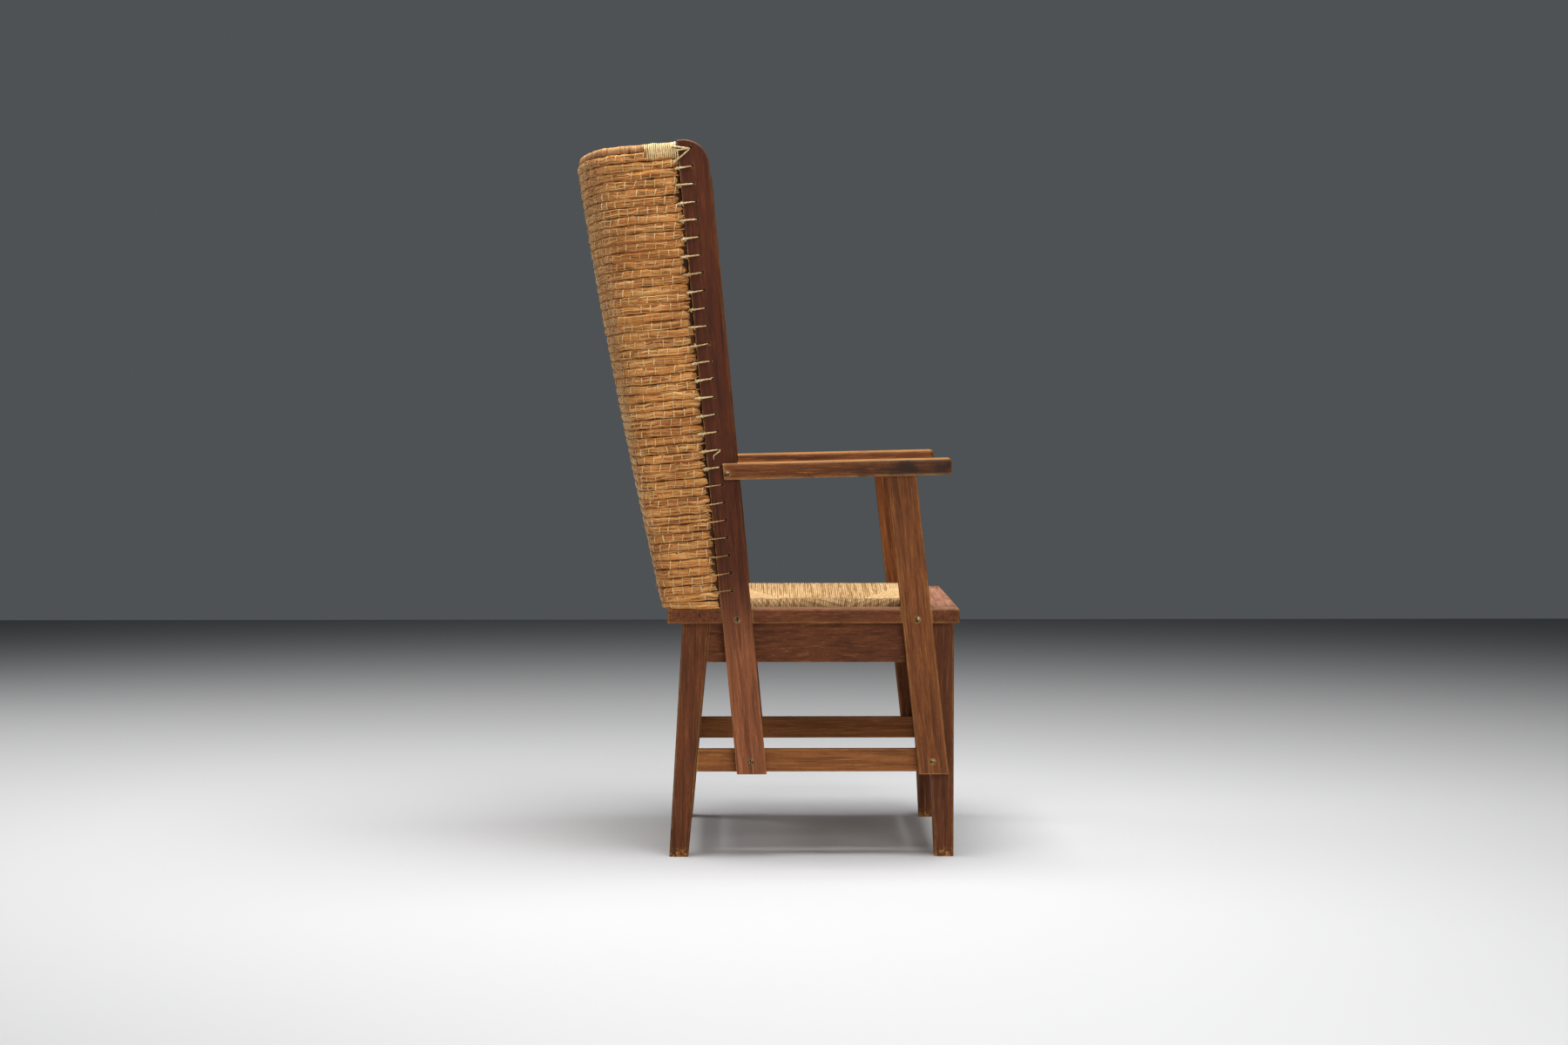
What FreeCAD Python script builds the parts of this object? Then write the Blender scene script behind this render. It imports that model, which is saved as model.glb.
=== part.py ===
import FreeCAD, Part
import math
import os

import Sketcher

# Orkney chair: a low armchair of plain boards whose back is a mat of straw bundles, coiled up row on
# row in a U, sewn together and laced to two raked uprights. A drop-in rush seat lifts out of the frame.
# Frame of the model: the sitter faces -Y, +X is the sitter's left, +Z is up, millimetres.

os.makedirs("parts", exist_ok=True)
doc = FreeCAD.newDocument("orkney_chair")
sheet = doc.addObject("Spreadsheet::Sheet", "Dims")

# The rows share out the uprights' height, so that straw and lacing holes follow it.
ROW_PITCH = "=((upright_height - seat_height) / cos(upright_rake) - rim_drop) / row_count"
SIZES = [
    ("seat_height", 405.0, "floor to the top of the seat frame"),
    ("seat_width", 540.0, "seat frame from side to side"),
    ("seat_depth", 472.0, "seat frame from front to back"),
    ("seat_front", 312.44, "origin to the front edge of the seat frame"),
    ("seat_thickness", 24.0, "board of the seat frame"),
    ("front_rail_width", 50.0, "front rail on its top face"),
    ("rear_rail_width", 94.0, "rear rail on its top face"),
    ("side_rail_width", 46.0, "side rail on its top face"),
    ("rebate_depth", 14.0, "step that the drop-in seat stands in"),
    ("rebate_ledge", 12.0, "width of the ledge under the drop-in seat"),
    ("rail_tenon_thickness", 6.0, "tenon of a side rail"),
    ("rail_tenon_width", 20.0, "tenon of a side rail"),
    ("rail_ease", 2.0, "worn edge of the seat frame"),
    ("leg_thickness", 36.0, "leg from side to side"),
    ("front_leg_top", 48.0, "front leg under the seat, front to back"),
    ("rear_leg_top", 44.0, "rear leg under the seat, front to back"),
    ("leg_foot", 31.0, "leg at the floor, front to back"),
    ("front_overhang", 8.0, "seat edge in front of the front legs"),
    ("rear_overhang", 24.0, "seat edge behind the rear legs' tops"),
    ("rear_splay", 22.0, "how far the rear feet stand behind their tops"),
    ("leg_ease", 2.0, "worn long edge of a leg"),
    ("apron_height", 64.0, "apron under the seat frame"),
    ("apron_thickness", 20.0, "apron board"),
    ("apron_setback", 5.0, "front and rear aprons behind the leg faces"),
    ("stretcher_height", 36.0, "stretcher board on edge"),
    ("stretcher_thickness", 20.0, "stretcher board"),
    ("stretcher_clear", 139.0, "floor to the underside of the stretchers"),
    ("tenon_length", 18.0, "tenon of aprons and stretchers"),
    ("tenon_thickness", 10.0, "tenon of aprons and stretchers"),
    ("tenon_shoulder", 6.0, "shoulder above and below a tenon"),
    ("joint_play", 0.1, "room on each side of a tenon or screw"),
    ("mortise_room", 1.0, "room at the end of a tenon or screw"),
    ("stub_rise", 9.0, "stub tenon on top of a leg, in the seat frame"),
    ("stub_width", 20.0, "stub tenon on top of a leg, front to back"),
    ("stub_thickness", 14.0, "stub tenon on top of a leg, side to side"),
    ("post_thickness", 22.0, "uprights and arm posts, side to side"),
    ("post_proud", 3.0, "posts stand proud of the seat edge"),
    ("post_foot", 137.0, "floor to the foot of uprights and posts"),
    ("housing_play", 0.3, "gap beside a post in its housing"),
    ("post_ease", 1.5, "worn edge of uprights and posts"),
    ("upright_width", 48.0, "upright, front to back"),
    ("upright_place", 385.0, "seat front to the upright's rear edge at seat level"),
    ("upright_rake", 5.32, "upright, degrees from plumb"),
    ("upright_height", 1158.0, "floor to the top of the upright"),
    ("upright_top_radius", 42.0, "rounded front corner at the top"),
    ("arm_post_width", 48.0, "arm post, front to back"),
    ("arm_post_place", 95.0, "seat front to the arm post's rear edge at seat level"),
    ("arm_post_rake", 6.25, "arm post, degrees from plumb"),
    ("arm_tenon_length", 14.0, "tenon of the arm post in the armrest"),
    ("arm_tenon_width", 30.0, "tenon of the arm post, front to back"),
    ("arm_tenon_thickness", 10.0, "tenon of the arm post, side to side"),
    ("arm_clear", 622.0, "floor to the armrest's underside at its front end"),
    ("arm_slope", 1.3, "armrest falls to the rear, degrees"),
    ("arm_thickness", 26.0, "armrest board"),
    ("arm_width", 70.0, "armrest, side to side"),
    ("arm_cheek", 12.0, "tongue of the armrest on the upright's outer face"),
    ("arm_setback", 14.5, "armrest's front end behind the seat's front edge"),
    ("arm_overlap", 24.0, "tongue's length past the upright's front edge"),
    ("arm_corner", 10.0, "rounded front corners of the armrest, in plan"),
    ("arm_round", 4.0, "worn top edge of the armrest"),
    ("screw_head", 9.4, "flush screw head"),
    ("screw_head_depth", 2.4, "flush screw head, along its axis"),
    ("screw_shank", 4.8, "screw shank"),
    ("post_screw_length", 38.0, "screws through uprights and posts"),
    ("arm_screw_length", 30.0, "screws through the armrest tongues"),
    ("seat_screw_rise", 6.5, "seat screws above the seat frame's underside"),
    ("arm_screw_inset", 19.0, "armrest screw behind the upright's front edge"),
    ("arm_screw_rise", 9.0, "armrest screw above the armrest's underside"),
    ("row_count", 52, "straw rows from seat to rim"),
    ("rim_drop", 15.257, "upright's end above the top row, along the upright"),
    ("row_pitch", ROW_PITCH, "height of one straw row"),
    ("wedge_rows", 2, "lowest rows that thin to the rear, so that the mat stands level"),
    ("straw_thickness", 20.0, "straw row from inside to outside"),
    ("straw_groove", 3.5, "groove between two rows"),
    ("straw_depth_seat", 98.0, "mat behind the upright at the seat"),
    ("straw_depth_top", 173.0, "mat behind the upright at the rim"),
    ("straw_belly", 8.0, "swell of the mat's rear at half height"),
    ("corner_radius_seat", 28.0, "outer corner of the mat at the seat"),
    ("corner_radius_top", 48.0, "outer corner of the mat at the rim"),
    ("corner_turn_seat", 88.0, "turn of that corner at the seat, degrees"),
    ("corner_turn_top", 72.0, "turn of that corner at the rim, degrees"),
    ("rim_diameter", 14.0, "bound roll along the top of the mat"),
    ("lace_hole", 5.0, "lacing hole in the upright"),
    ("lace_inset", 20.0, "lacing holes from the upright's rear edge"),
    ("lace_diameter", 2.6, "lacing cord"),
    ("lace_lift", 0.05, "cord's clearance over the wood"),
    ("lace_reach", 16.0, "cord's length on the straw"),
    ("lace_bend", 2.0, "where the cord leaves the straw, behind the upright"),
    ("seat_gap", 2.0, "gap round the drop-in seat"),
    ("rush_rise", 12.0, "rush edge above the seat frame"),
    ("rush_dish", 18.0, "hollow at the middle of the rush"),
    ("rush_edge", 9.0, "rounded upper edge of the rush seat"),
    ("rush_hem", 4.0, "drawn-in lower edge of the rush seat"),
    ("rush_wrap", 3.4, "rush cord wrapped over the slip rails"),
    ("slip_width", 30.0, "slip rail inside the rush"),
]
for line, (alias, value, meaning) in enumerate(SIZES, 1):
    sheet.set(f"A{line}", meaning)
    sheet.set(f"B{line}", str(value))
    sheet.setAlias(f"B{line}", alias)
doc.recompute()


def size(expression):
    """Present value of an expression in the sheet's names."""
    return float(sheet.evalExpression(expression))


# Places that several pieces share.
SEAT_UNDER = "(Dims.seat_height - Dims.seat_thickness)"
LEDGE = "(Dims.seat_height - Dims.rebate_depth)"
FRONT = "(-Dims.seat_front)"
REAR = "(Dims.seat_depth - Dims.seat_front)"
POST_OUT = "(Dims.seat_width / 2 + Dims.post_proud)"
BASE_OUT = f"({POST_OUT} - Dims.post_thickness)"
LEG_IN = f"({BASE_OUT} - Dims.leg_thickness)"
WELL_SIDE = "(Dims.seat_width / 2 - Dims.side_rail_width)"
WELL_FRONT = f"({FRONT} + Dims.front_rail_width)"
WELL_REAR = f"({REAR} - Dims.rear_rail_width)"
LEDGE_SIDE = f"({WELL_SIDE} - Dims.rebate_ledge)"
LEDGE_FRONT = f"({WELL_FRONT} + Dims.rebate_ledge)"
LEDGE_REAR = f"({WELL_REAR} - Dims.rebate_ledge)"
APRON_UNDER = f"({SEAT_UNDER} - Dims.apron_height)"
STRETCHER_TOP = "(Dims.stretcher_clear + Dims.stretcher_height)"
UPRIGHT_Y = f"({FRONT} + Dims.upright_place)"
ARM_POST_Y = f"({FRONT} + Dims.arm_post_place)"
ARM_FRONT = f"({FRONT} + Dims.arm_setback)"


def origin_plane(body, role):
    """One of the body's own origin planes."""
    for feature in body.Origin.OriginFeatures:
        if feature.Role == role:
            return feature
    raise ValueError(role)


def new_body(label):
    """An empty body, labelled with its node's name."""
    body = doc.addObject("PartDesign::Body", label)
    body.Label = label
    return body


def new_sketch(body, plane, offset):
    """A sketch on the body's plane, moved along the plane's normal."""
    sketch = body.newObject("Sketcher::SketchObject", "Outline")
    sketch.AttachmentSupport = (origin_plane(body, plane), [""])
    sketch.MapMode = "FlatFace"
    sketch.setExpression("AttachmentOffset.Base.z", offset)
    return sketch


def rake_sketch(sketch, foot_y, rake):
    """Turn a side-view sketch so that its V axis runs up a raked board from the seat's level."""
    sketch.AttachmentOffset = FreeCAD.Placement(FreeCAD.Vector(), FreeCAD.Vector(0, 0, 1), -1)
    sketch.setExpression("AttachmentOffset.Base.x", foot_y)
    sketch.setExpression("AttachmentOffset.Base.y", "Dims.seat_height")
    sketch.setExpression("AttachmentOffset.Rotation.Angle", f"-{rake}")


def hold(sketch, kind, geometry, point, expression):
    """One coordinate of a sketch point, bound to the sheet."""
    index = sketch.addConstraint(Sketcher.Constraint(kind, geometry, point, size(expression)))
    sketch.setExpression(f"Constraints[{index}]", expression)


def draw_polygon(sketch, corners):
    """A closed outline whose every corner is held by two bound coordinates."""
    first = sketch.GeometryCount
    count = len(corners)
    seeds = [FreeCAD.Vector(size(u), size(v), 0) for u, v in corners]
    for i in range(count):
        sketch.addGeometry(Part.LineSegment(seeds[i], seeds[(i + 1) % count]))
    for i in range(count):
        after = first + (i + 1) % count
        sketch.addConstraint(Sketcher.Constraint("Coincident", first + i, 2, after, 1))
    for i, (u, v) in enumerate(corners):
        hold(sketch, "DistanceX", first + i, 1, u)
        hold(sketch, "DistanceY", first + i, 1, v)


BORE_SIDES = 6


def draw_bore(sketch, u, v, diameter, sides=BORE_SIDES):
    """A drilled hole with few faces: a regular outline whose flats stand round the diameter."""
    radius = f"({diameter}) / 2 / cos(180 / {sides})"
    turns = [f"360 * {k} / {sides}" for k in range(sides)]
    draw_polygon(sketch, [(f"{u} + {radius} * cos({t})", f"{v} + {radius} * sin({t})") for t in turns])


def box_corners(u0, u1, v0, v1):
    """Corners of an upright rectangle."""
    return [(u0, v0), (u1, v0), (u1, v1), (u0, v1)]


def pad(body, sketch, length):
    """Extrude along the sketch's normal."""
    feature = body.newObject("PartDesign::Pad", "Pad")
    feature.Profile = sketch
    feature.setExpression("Length", length)
    doc.recompute()
    return feature


def cut(body, sketch, length, outward=True, must=True):
    """Cut along the sketch's normal, or against it, and make sure that it removes wood where it must."""
    before = body.Shape.Volume
    feature = body.newObject("PartDesign::Pocket", "Cut")
    feature.Profile = sketch
    feature.setExpression("Length", length)
    feature.Reversed = outward
    doc.recompute()
    if must and not body.Shape.Volume < before:
        raise ValueError(f"{body.Label}: a cut removes nothing")
    return feature


def both_sides(body, feature):
    """Repeat a feature on the other side of the chair's middle plane."""
    twin = body.newObject("PartDesign::Mirrored", "BothSides")
    twin.Originals = [feature]
    twin.MirrorPlane = (origin_plane(body, "YZ_Plane"), [""])
    body.Tip = twin
    doc.recompute()
    return twin


def soften(body, radius, wanted):
    """Round the edges of the body's last feature that the test picks out."""
    base = body.Tip
    names = [f"Edge{i}" for i, edge in enumerate(base.Shape.Edges, 1) if wanted(edge)]
    feature = body.newObject("PartDesign::Fillet", "Round")
    feature.Base = (base, names)
    feature.setExpression("Radius", radius)
    doc.recompute()
    return feature


def ease(body, amount, wanted):
    """Break the edges of the body's last feature that the test picks out."""
    base = body.Tip
    names = [f"Edge{i}" for i, edge in enumerate(base.Shape.Edges, 1) if wanted(edge)]
    feature = body.newObject("PartDesign::Chamfer", "Ease")
    feature.Base = (base, names)
    feature.setExpression("Size", amount)
    doc.recompute()
    return feature


STRAIGHT = 0.999
NEAR = 0.01


def runs_along(edge, axis):
    """True for a straight edge along X, Y or Z."""
    ends = [vertex.Point for vertex in edge.Vertexes]
    if len(ends) != 2:
        return False
    way = ends[1] - ends[0]
    return abs(way[axis]) > STRAIGHT * way.Length


def at(edge, axis, place):
    """True for an edge that lies wholly at one coordinate."""
    return all(abs(vertex.Point[axis] - place) < NEAR for vertex in edge.Vertexes)


def mirror(source, label):
    """The same piece for the chair's other side."""
    twin = doc.addObject("Part::Mirroring", label)
    twin.Label = label
    twin.Source = source
    twin.Normal = FreeCAD.Vector(1, 0, 0)
    twin.Base = FreeCAD.Vector(0, 0, 0)
    return twin


def front_leg_back(height):
    """Back edge of the front leg, which tapers to the foot."""
    taper = "(Dims.front_leg_top - Dims.leg_foot)"
    return f"({FRONT} + Dims.front_overhang + Dims.leg_foot + {taper} * ({height}) / {SEAT_UNDER})"


def rear_leg_back(height):
    """Rear edge of the rear leg, splayed to the rear."""
    return f"({REAR} - Dims.rear_overhang + Dims.rear_splay * (1 - ({height}) / {SEAT_UNDER}))"


def rear_leg_front(height):
    """Front edge of the rear leg."""
    taper = "(Dims.rear_leg_top - Dims.leg_foot)"
    return f"({rear_leg_back(height)} - Dims.leg_foot - {taper} * ({height}) / {SEAT_UNDER})"


def between_legs(low, high, reach):
    """Side outline of a member between the legs, carried into both legs by the reach."""
    return [
        (f"{front_leg_back(low)} - ({reach})", low),
        (f"{rear_leg_front(low)} + ({reach})", low),
        (f"{rear_leg_front(high)} + ({reach})", high),
        (f"{front_leg_back(high)} - ({reach})", high),
    ]


# Low and high edges of the aprons' and stretchers' tenons.
BANDS = {
    "apron": (APRON_UNDER, SEAT_UNDER, "Dims.apron_thickness"),
    "stretcher": ("Dims.stretcher_clear", STRETCHER_TOP, "Dims.stretcher_thickness"),
}
TENON_HOLE = "(Dims.tenon_thickness + 2 * Dims.joint_play)"
TENON_DEPTH = "(Dims.tenon_length + Dims.mortise_room)"


def tenon_band(kind, play):
    """Heights of a member's tenon, or of its mortise with play."""
    low, high, _ = BANDS[kind]
    return (
        f"({low} + Dims.tenon_shoulder - {play})",
        f"({high} - Dims.tenon_shoulder + {play})",
    )


def cross_middle(kind, front):
    """Middle plane of a front or rear cross member."""
    half = f"{BANDS[kind][2]} / 2"
    if front:
        return f"({FRONT} + Dims.front_overhang + Dims.apron_setback + {half})"
    return f"({rear_leg_back(BANDS[kind][1])} - Dims.apron_setback - {half})"


def leg(label, front):
    """A tapered leg with worn edges, four mortises and a stub tenon on top."""
    body = new_body(label)
    outline = new_sketch(body, "YZ_Plane", LEG_IN)
    if front:
        face = f"({FRONT} + Dims.front_overhang)"
        corners = [
            (face, "0"),
            (front_leg_back("0"), "0"),
            (front_leg_back(SEAT_UNDER), SEAT_UNDER),
            (face, SEAT_UNDER),
        ]
    else:
        corners = [
            (rear_leg_front("0"), "0"),
            (rear_leg_back("0"), "0"),
            (rear_leg_back(SEAT_UNDER), SEAT_UNDER),
            (rear_leg_front(SEAT_UNDER), SEAT_UNDER),
        ]
    draw_polygon(outline, corners)
    pad(body, outline, "Dims.leg_thickness")
    top = size(SEAT_UNDER)
    ease(body, "Dims.leg_ease", lambda edge: not at(edge, 2, 0.0) and not at(edge, 2, top))
    stub = new_sketch(body, "XY_Plane", f"{SEAT_UNDER} - Dims.stub_rise")
    draw_polygon(stub, leg_stub(front, "0"))
    pad(body, stub, "2 * Dims.stub_rise")
    for kind, (_, _, thickness) in BANDS.items():
        low, high = tenon_band(kind, "Dims.joint_play")
        side = new_sketch(body, "YZ_Plane", f"{BASE_OUT} - {thickness} / 2 - {TENON_HOLE} / 2")
        draw_polygon(side, between_legs(low, high, TENON_DEPTH))
        cut(body, side, TENON_HOLE)
        middle = cross_middle(kind, front)
        cross = new_sketch(body, "YZ_Plane", LEG_IN)
        edges = (f"{middle} - {TENON_HOLE} / 2", f"{middle} + {TENON_HOLE} / 2")
        draw_polygon(cross, box_corners(*edges, low, high))
        cut(body, cross, TENON_DEPTH)
    pilot_hole(body, ARM_POST if front else UPRIGHT, LOW_SCREW)
    return body


def leg_stub(front, play):
    """Plan of the stub tenon on a leg's top, or of its mortise with play."""
    x = f"({LEG_IN} + Dims.leg_thickness / 2)"
    if front:
        y = f"({front_leg_back(SEAT_UNDER)} - Dims.front_leg_top / 2)"
    else:
        y = f"({rear_leg_front(SEAT_UNDER)} + Dims.rear_leg_top / 2)"
    across = f"(Dims.stub_thickness / 2 + {play})"
    along = f"(Dims.stub_width / 2 + {play})"
    return box_corners(f"{x} - {across}", f"{x} + {across}", f"{y} - {along}", f"{y} + {along}")


def side_member(label, kind):
    """Apron or stretcher along the chair's side, with a tenon at each end."""
    low, high, thickness = BANDS[kind]
    body = new_body(label)
    board = new_sketch(body, "YZ_Plane", f"{BASE_OUT} - {thickness}")
    draw_polygon(board, between_legs(low, high, "0"))
    pad(body, board, thickness)
    tenons = new_sketch(body, "YZ_Plane", f"{BASE_OUT} - {thickness} / 2 - Dims.tenon_thickness / 2")
    draw_polygon(tenons, between_legs(*tenon_band(kind, "0"), "Dims.tenon_length"))
    pad(body, tenons, "Dims.tenon_thickness")
    return body


def cross_member(label, kind, front):
    """Apron or stretcher across the chair, with a tenon at each end."""
    low, high, thickness = BANDS[kind]
    middle = cross_middle(kind, front)
    body = new_body(label)
    board = new_sketch(body, "YZ_Plane", f"-{LEG_IN}")
    faces = (f"{middle} - {thickness} / 2", f"{middle} + {thickness} / 2")
    draw_polygon(board, box_corners(*faces, low, high))
    pad(body, board, f"2 * {LEG_IN}")
    tenons = new_sketch(body, "YZ_Plane", f"-{LEG_IN} - Dims.tenon_length")
    cheeks = (f"{middle} - Dims.tenon_thickness / 2", f"{middle} + Dims.tenon_thickness / 2")
    draw_polygon(tenons, box_corners(*cheeks, *tenon_band(kind, "0")))
    pad(body, tenons, f"2 * ({LEG_IN} + Dims.tenon_length)")
    return body


# The two kinds of raked post: where the rear edge stands at seat level, the rake and the width.
UPRIGHT = (UPRIGHT_Y, "Dims.upright_rake", "Dims.upright_width")
ARM_POST = (ARM_POST_Y, "Dims.arm_post_rake", "Dims.arm_post_width")


def raked_middle(post, height):
    """Middle of a raked board, front to back, at one height."""
    place, rake, width = post
    return f"({place} + (({height}) - Dims.seat_height) * tan({rake}) - {width} / cos({rake}) / 2)"


def level_on(post, u, height):
    """Where a level cut at one height meets the board at U across it, measured along the board."""
    _, rake, _ = post
    return f"((({height}) - Dims.seat_height) / cos({rake}) + ({u}) * tan({rake}))"


def arm_under(y):
    """Underside of the armrest, which falls a little to the rear."""
    return f"(Dims.arm_clear - (({y}) - {ARM_FRONT}) * tan(Dims.arm_slope))"


def upright_front(height):
    """Front edge of the upright at one height."""
    drop = f"(({height}) - Dims.seat_height) * tan(Dims.upright_rake)"
    return f"({UPRIGHT_Y} - Dims.upright_width / cos(Dims.upright_rake) + {drop})"


def housing(body, post):
    """Notch for a raked post in the edge of the seat frame."""
    place, rake, width = post
    notch = new_sketch(body, "YZ_Plane", BASE_OUT)
    rake_sketch(notch, place, rake)
    reach = "2 * Dims.seat_thickness"
    across = (f"-{width} - Dims.housing_play", "Dims.housing_play")
    draw_polygon(notch, box_corners(*across, f"-{reach}", reach))
    return cut(body, notch, "Dims.post_thickness")


PILOT = "(Dims.screw_shank + 2 * Dims.joint_play)"
HEAD_SIDES = 12
SHANK_SIDES = 6
SEAT_SCREW = f"({SEAT_UNDER} + Dims.seat_screw_rise)"
LOW_SCREW = "(Dims.stretcher_clear + Dims.stretcher_height / 2)"
PILOT_DEPTH = "(Dims.post_screw_length - Dims.post_thickness + Dims.mortise_room)"
RAIL_TENON_LOW = f"(({LEDGE} + Dims.seat_height - Dims.rail_tenon_thickness) / 2)"
RAIL_TENON_IN = f"({BASE_OUT} - Dims.rail_tenon_width - Dims.tenon_shoulder)"


def pilot_hole(body, post, height):
    """Hole for the end of a screw driven through a post, in whatever wood it meets there."""
    hole = new_sketch(body, "YZ_Plane", BASE_OUT)
    draw_bore(hole, raked_middle(post, height), height, PILOT)
    return cut(body, hole, PILOT_DEPTH, outward=False, must=False)


# Stool base.
front_leg = leg("front_leg_left", True)
rear_leg = leg("rear_leg_left", False)
side_apron = side_member("side_apron_left", "apron")
side_stretcher = side_member("side_stretcher_left", "stretcher")
front_apron = cross_member("front_apron", "apron", True)
rear_apron = cross_member("rear_apron", "apron", False)
front_stretcher = cross_member("front_stretcher", "stretcher", True)
rear_stretcher = cross_member("rear_stretcher", "stretcher", False)
for screwed_post in (UPRIGHT, ARM_POST):
    pilot_hole(side_stretcher, screwed_post, LOW_SCREW)


def rail_mortise(body, y0, y1):
    """Blind mortises at both ends of a cross rail for the side rails' tenons."""
    mortise = new_sketch(body, "YZ_Plane", f"{RAIL_TENON_IN} - Dims.joint_play")
    low = f"{RAIL_TENON_LOW} - Dims.joint_play"
    high = f"{RAIL_TENON_LOW} + Dims.rail_tenon_thickness + Dims.joint_play"
    draw_polygon(mortise, box_corners(y0, y1, low, high))
    both_sides(body, cut(body, mortise, "Dims.rail_tenon_width + 2 * Dims.joint_play"))


def seat_cross_rail(label, front):
    """Front or rear rail of the seat frame, full width, rebated for the drop-in seat."""
    body = new_body(label)
    edge, well, ledge = (FRONT, WELL_FRONT, LEDGE_FRONT) if front else (REAR, WELL_REAR, LEDGE_REAR)
    profile = new_sketch(body, "YZ_Plane", "-Dims.seat_width / 2")
    corners = [
        (edge, SEAT_UNDER),
        (ledge, SEAT_UNDER),
        (ledge, LEDGE),
        (well, LEDGE),
        (well, "Dims.seat_height"),
        (edge, "Dims.seat_height"),
    ]
    draw_polygon(profile, corners)
    pad(body, profile, "Dims.seat_width")
    outer = size(edge)
    half = size("Dims.seat_width / 2")
    top = size("Dims.seat_height")
    under = size(SEAT_UNDER)

    def on_rim(edge):
        flat = at(edge, 2, top) or at(edge, 2, under)
        end = at(edge, 0, half) or at(edge, 0, -half)
        return at(edge, 1, outer) or (end and flat)

    ease(body, "Dims.rail_ease", on_rim)
    post = ARM_POST if front else UPRIGHT
    both_sides(body, housing(body, post))
    reach = f"(Dims.tenon_length + Dims.mortise_room) * {'(-1)' if front else '1'}"
    rail_mortise(body, well, f"{well} + {reach}")
    stub = new_sketch(body, "XY_Plane", SEAT_UNDER)
    draw_polygon(stub, leg_stub(front, "Dims.joint_play"))
    both_sides(body, cut(body, stub, "Dims.stub_rise + Dims.mortise_room"))
    both_sides(body, pilot_hole(body, post, SEAT_SCREW))
    return body


def seat_side_rail(label):
    """Side rail between the cross rails, with its ledge, tenons, housings and pilot holes."""
    body = new_body(label)
    board = new_sketch(body, "YZ_Plane", WELL_SIDE)
    corners = [
        (LEDGE_FRONT, SEAT_UNDER),
        (LEDGE_REAR, SEAT_UNDER),
        (LEDGE_REAR, LEDGE),
        (WELL_REAR, LEDGE),
        (WELL_REAR, "Dims.seat_height"),
        (WELL_FRONT, "Dims.seat_height"),
        (WELL_FRONT, LEDGE),
        (LEDGE_FRONT, LEDGE),
    ]
    draw_polygon(board, corners)
    pad(body, board, "Dims.side_rail_width")
    half = size("Dims.seat_width / 2")
    ease(body, "Dims.rail_ease", lambda edge: at(edge, 0, half) and long_edge(edge))
    shelf = new_sketch(body, "YZ_Plane", LEDGE_SIDE)
    draw_polygon(shelf, box_corners(LEDGE_FRONT, LEDGE_REAR, SEAT_UNDER, LEDGE))
    pad(body, shelf, "Dims.rebate_ledge")
    tenons = new_sketch(body, "YZ_Plane", RAIL_TENON_IN)
    ends = (f"{WELL_FRONT} - Dims.tenon_length", f"{WELL_REAR} + Dims.tenon_length")
    rise = (RAIL_TENON_LOW, f"{RAIL_TENON_LOW} + Dims.rail_tenon_thickness")
    draw_polygon(tenons, box_corners(*ends, *rise))
    pad(body, tenons, "Dims.rail_tenon_width")
    for post in (UPRIGHT, ARM_POST):
        housing(body, post)
        pilot_hole(body, post, SEAT_SCREW)
    return body


def long_edge(edge):
    """True for an edge along the side rail's length, not for its stepped ends."""
    ledge = size(LEDGE)
    return runs_along(edge, 1) and not at(edge, 2, ledge)


seat_front_rail = seat_cross_rail("seat_front_rail", True)
seat_rear_rail = seat_cross_rail("seat_rear_rail", False)
side_rail = seat_side_rail("seat_side_rail_left")


def screw_hole(body, face, y, z, through):
    """Hole through a board for a screw, with a seat for its head in the outer face."""
    shank = new_sketch(body, "YZ_Plane", face)
    draw_bore(shank, y, z, PILOT)
    cut(body, shank, through, outward=False)
    head = new_sketch(body, "YZ_Plane", face)
    draw_bore(head, y, z, "Dims.screw_head + 2 * Dims.joint_play", HEAD_SIDES)
    cut(body, head, "Dims.screw_head_depth", outward=False)


def post_screw_holes(body, post):
    """Screw holes through a post at the seat frame and at the stretcher."""
    for height in (SEAT_SCREW, LOW_SCREW):
        screw_hole(body, POST_OUT, raked_middle(post, height), height, "Dims.post_thickness")


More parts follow.
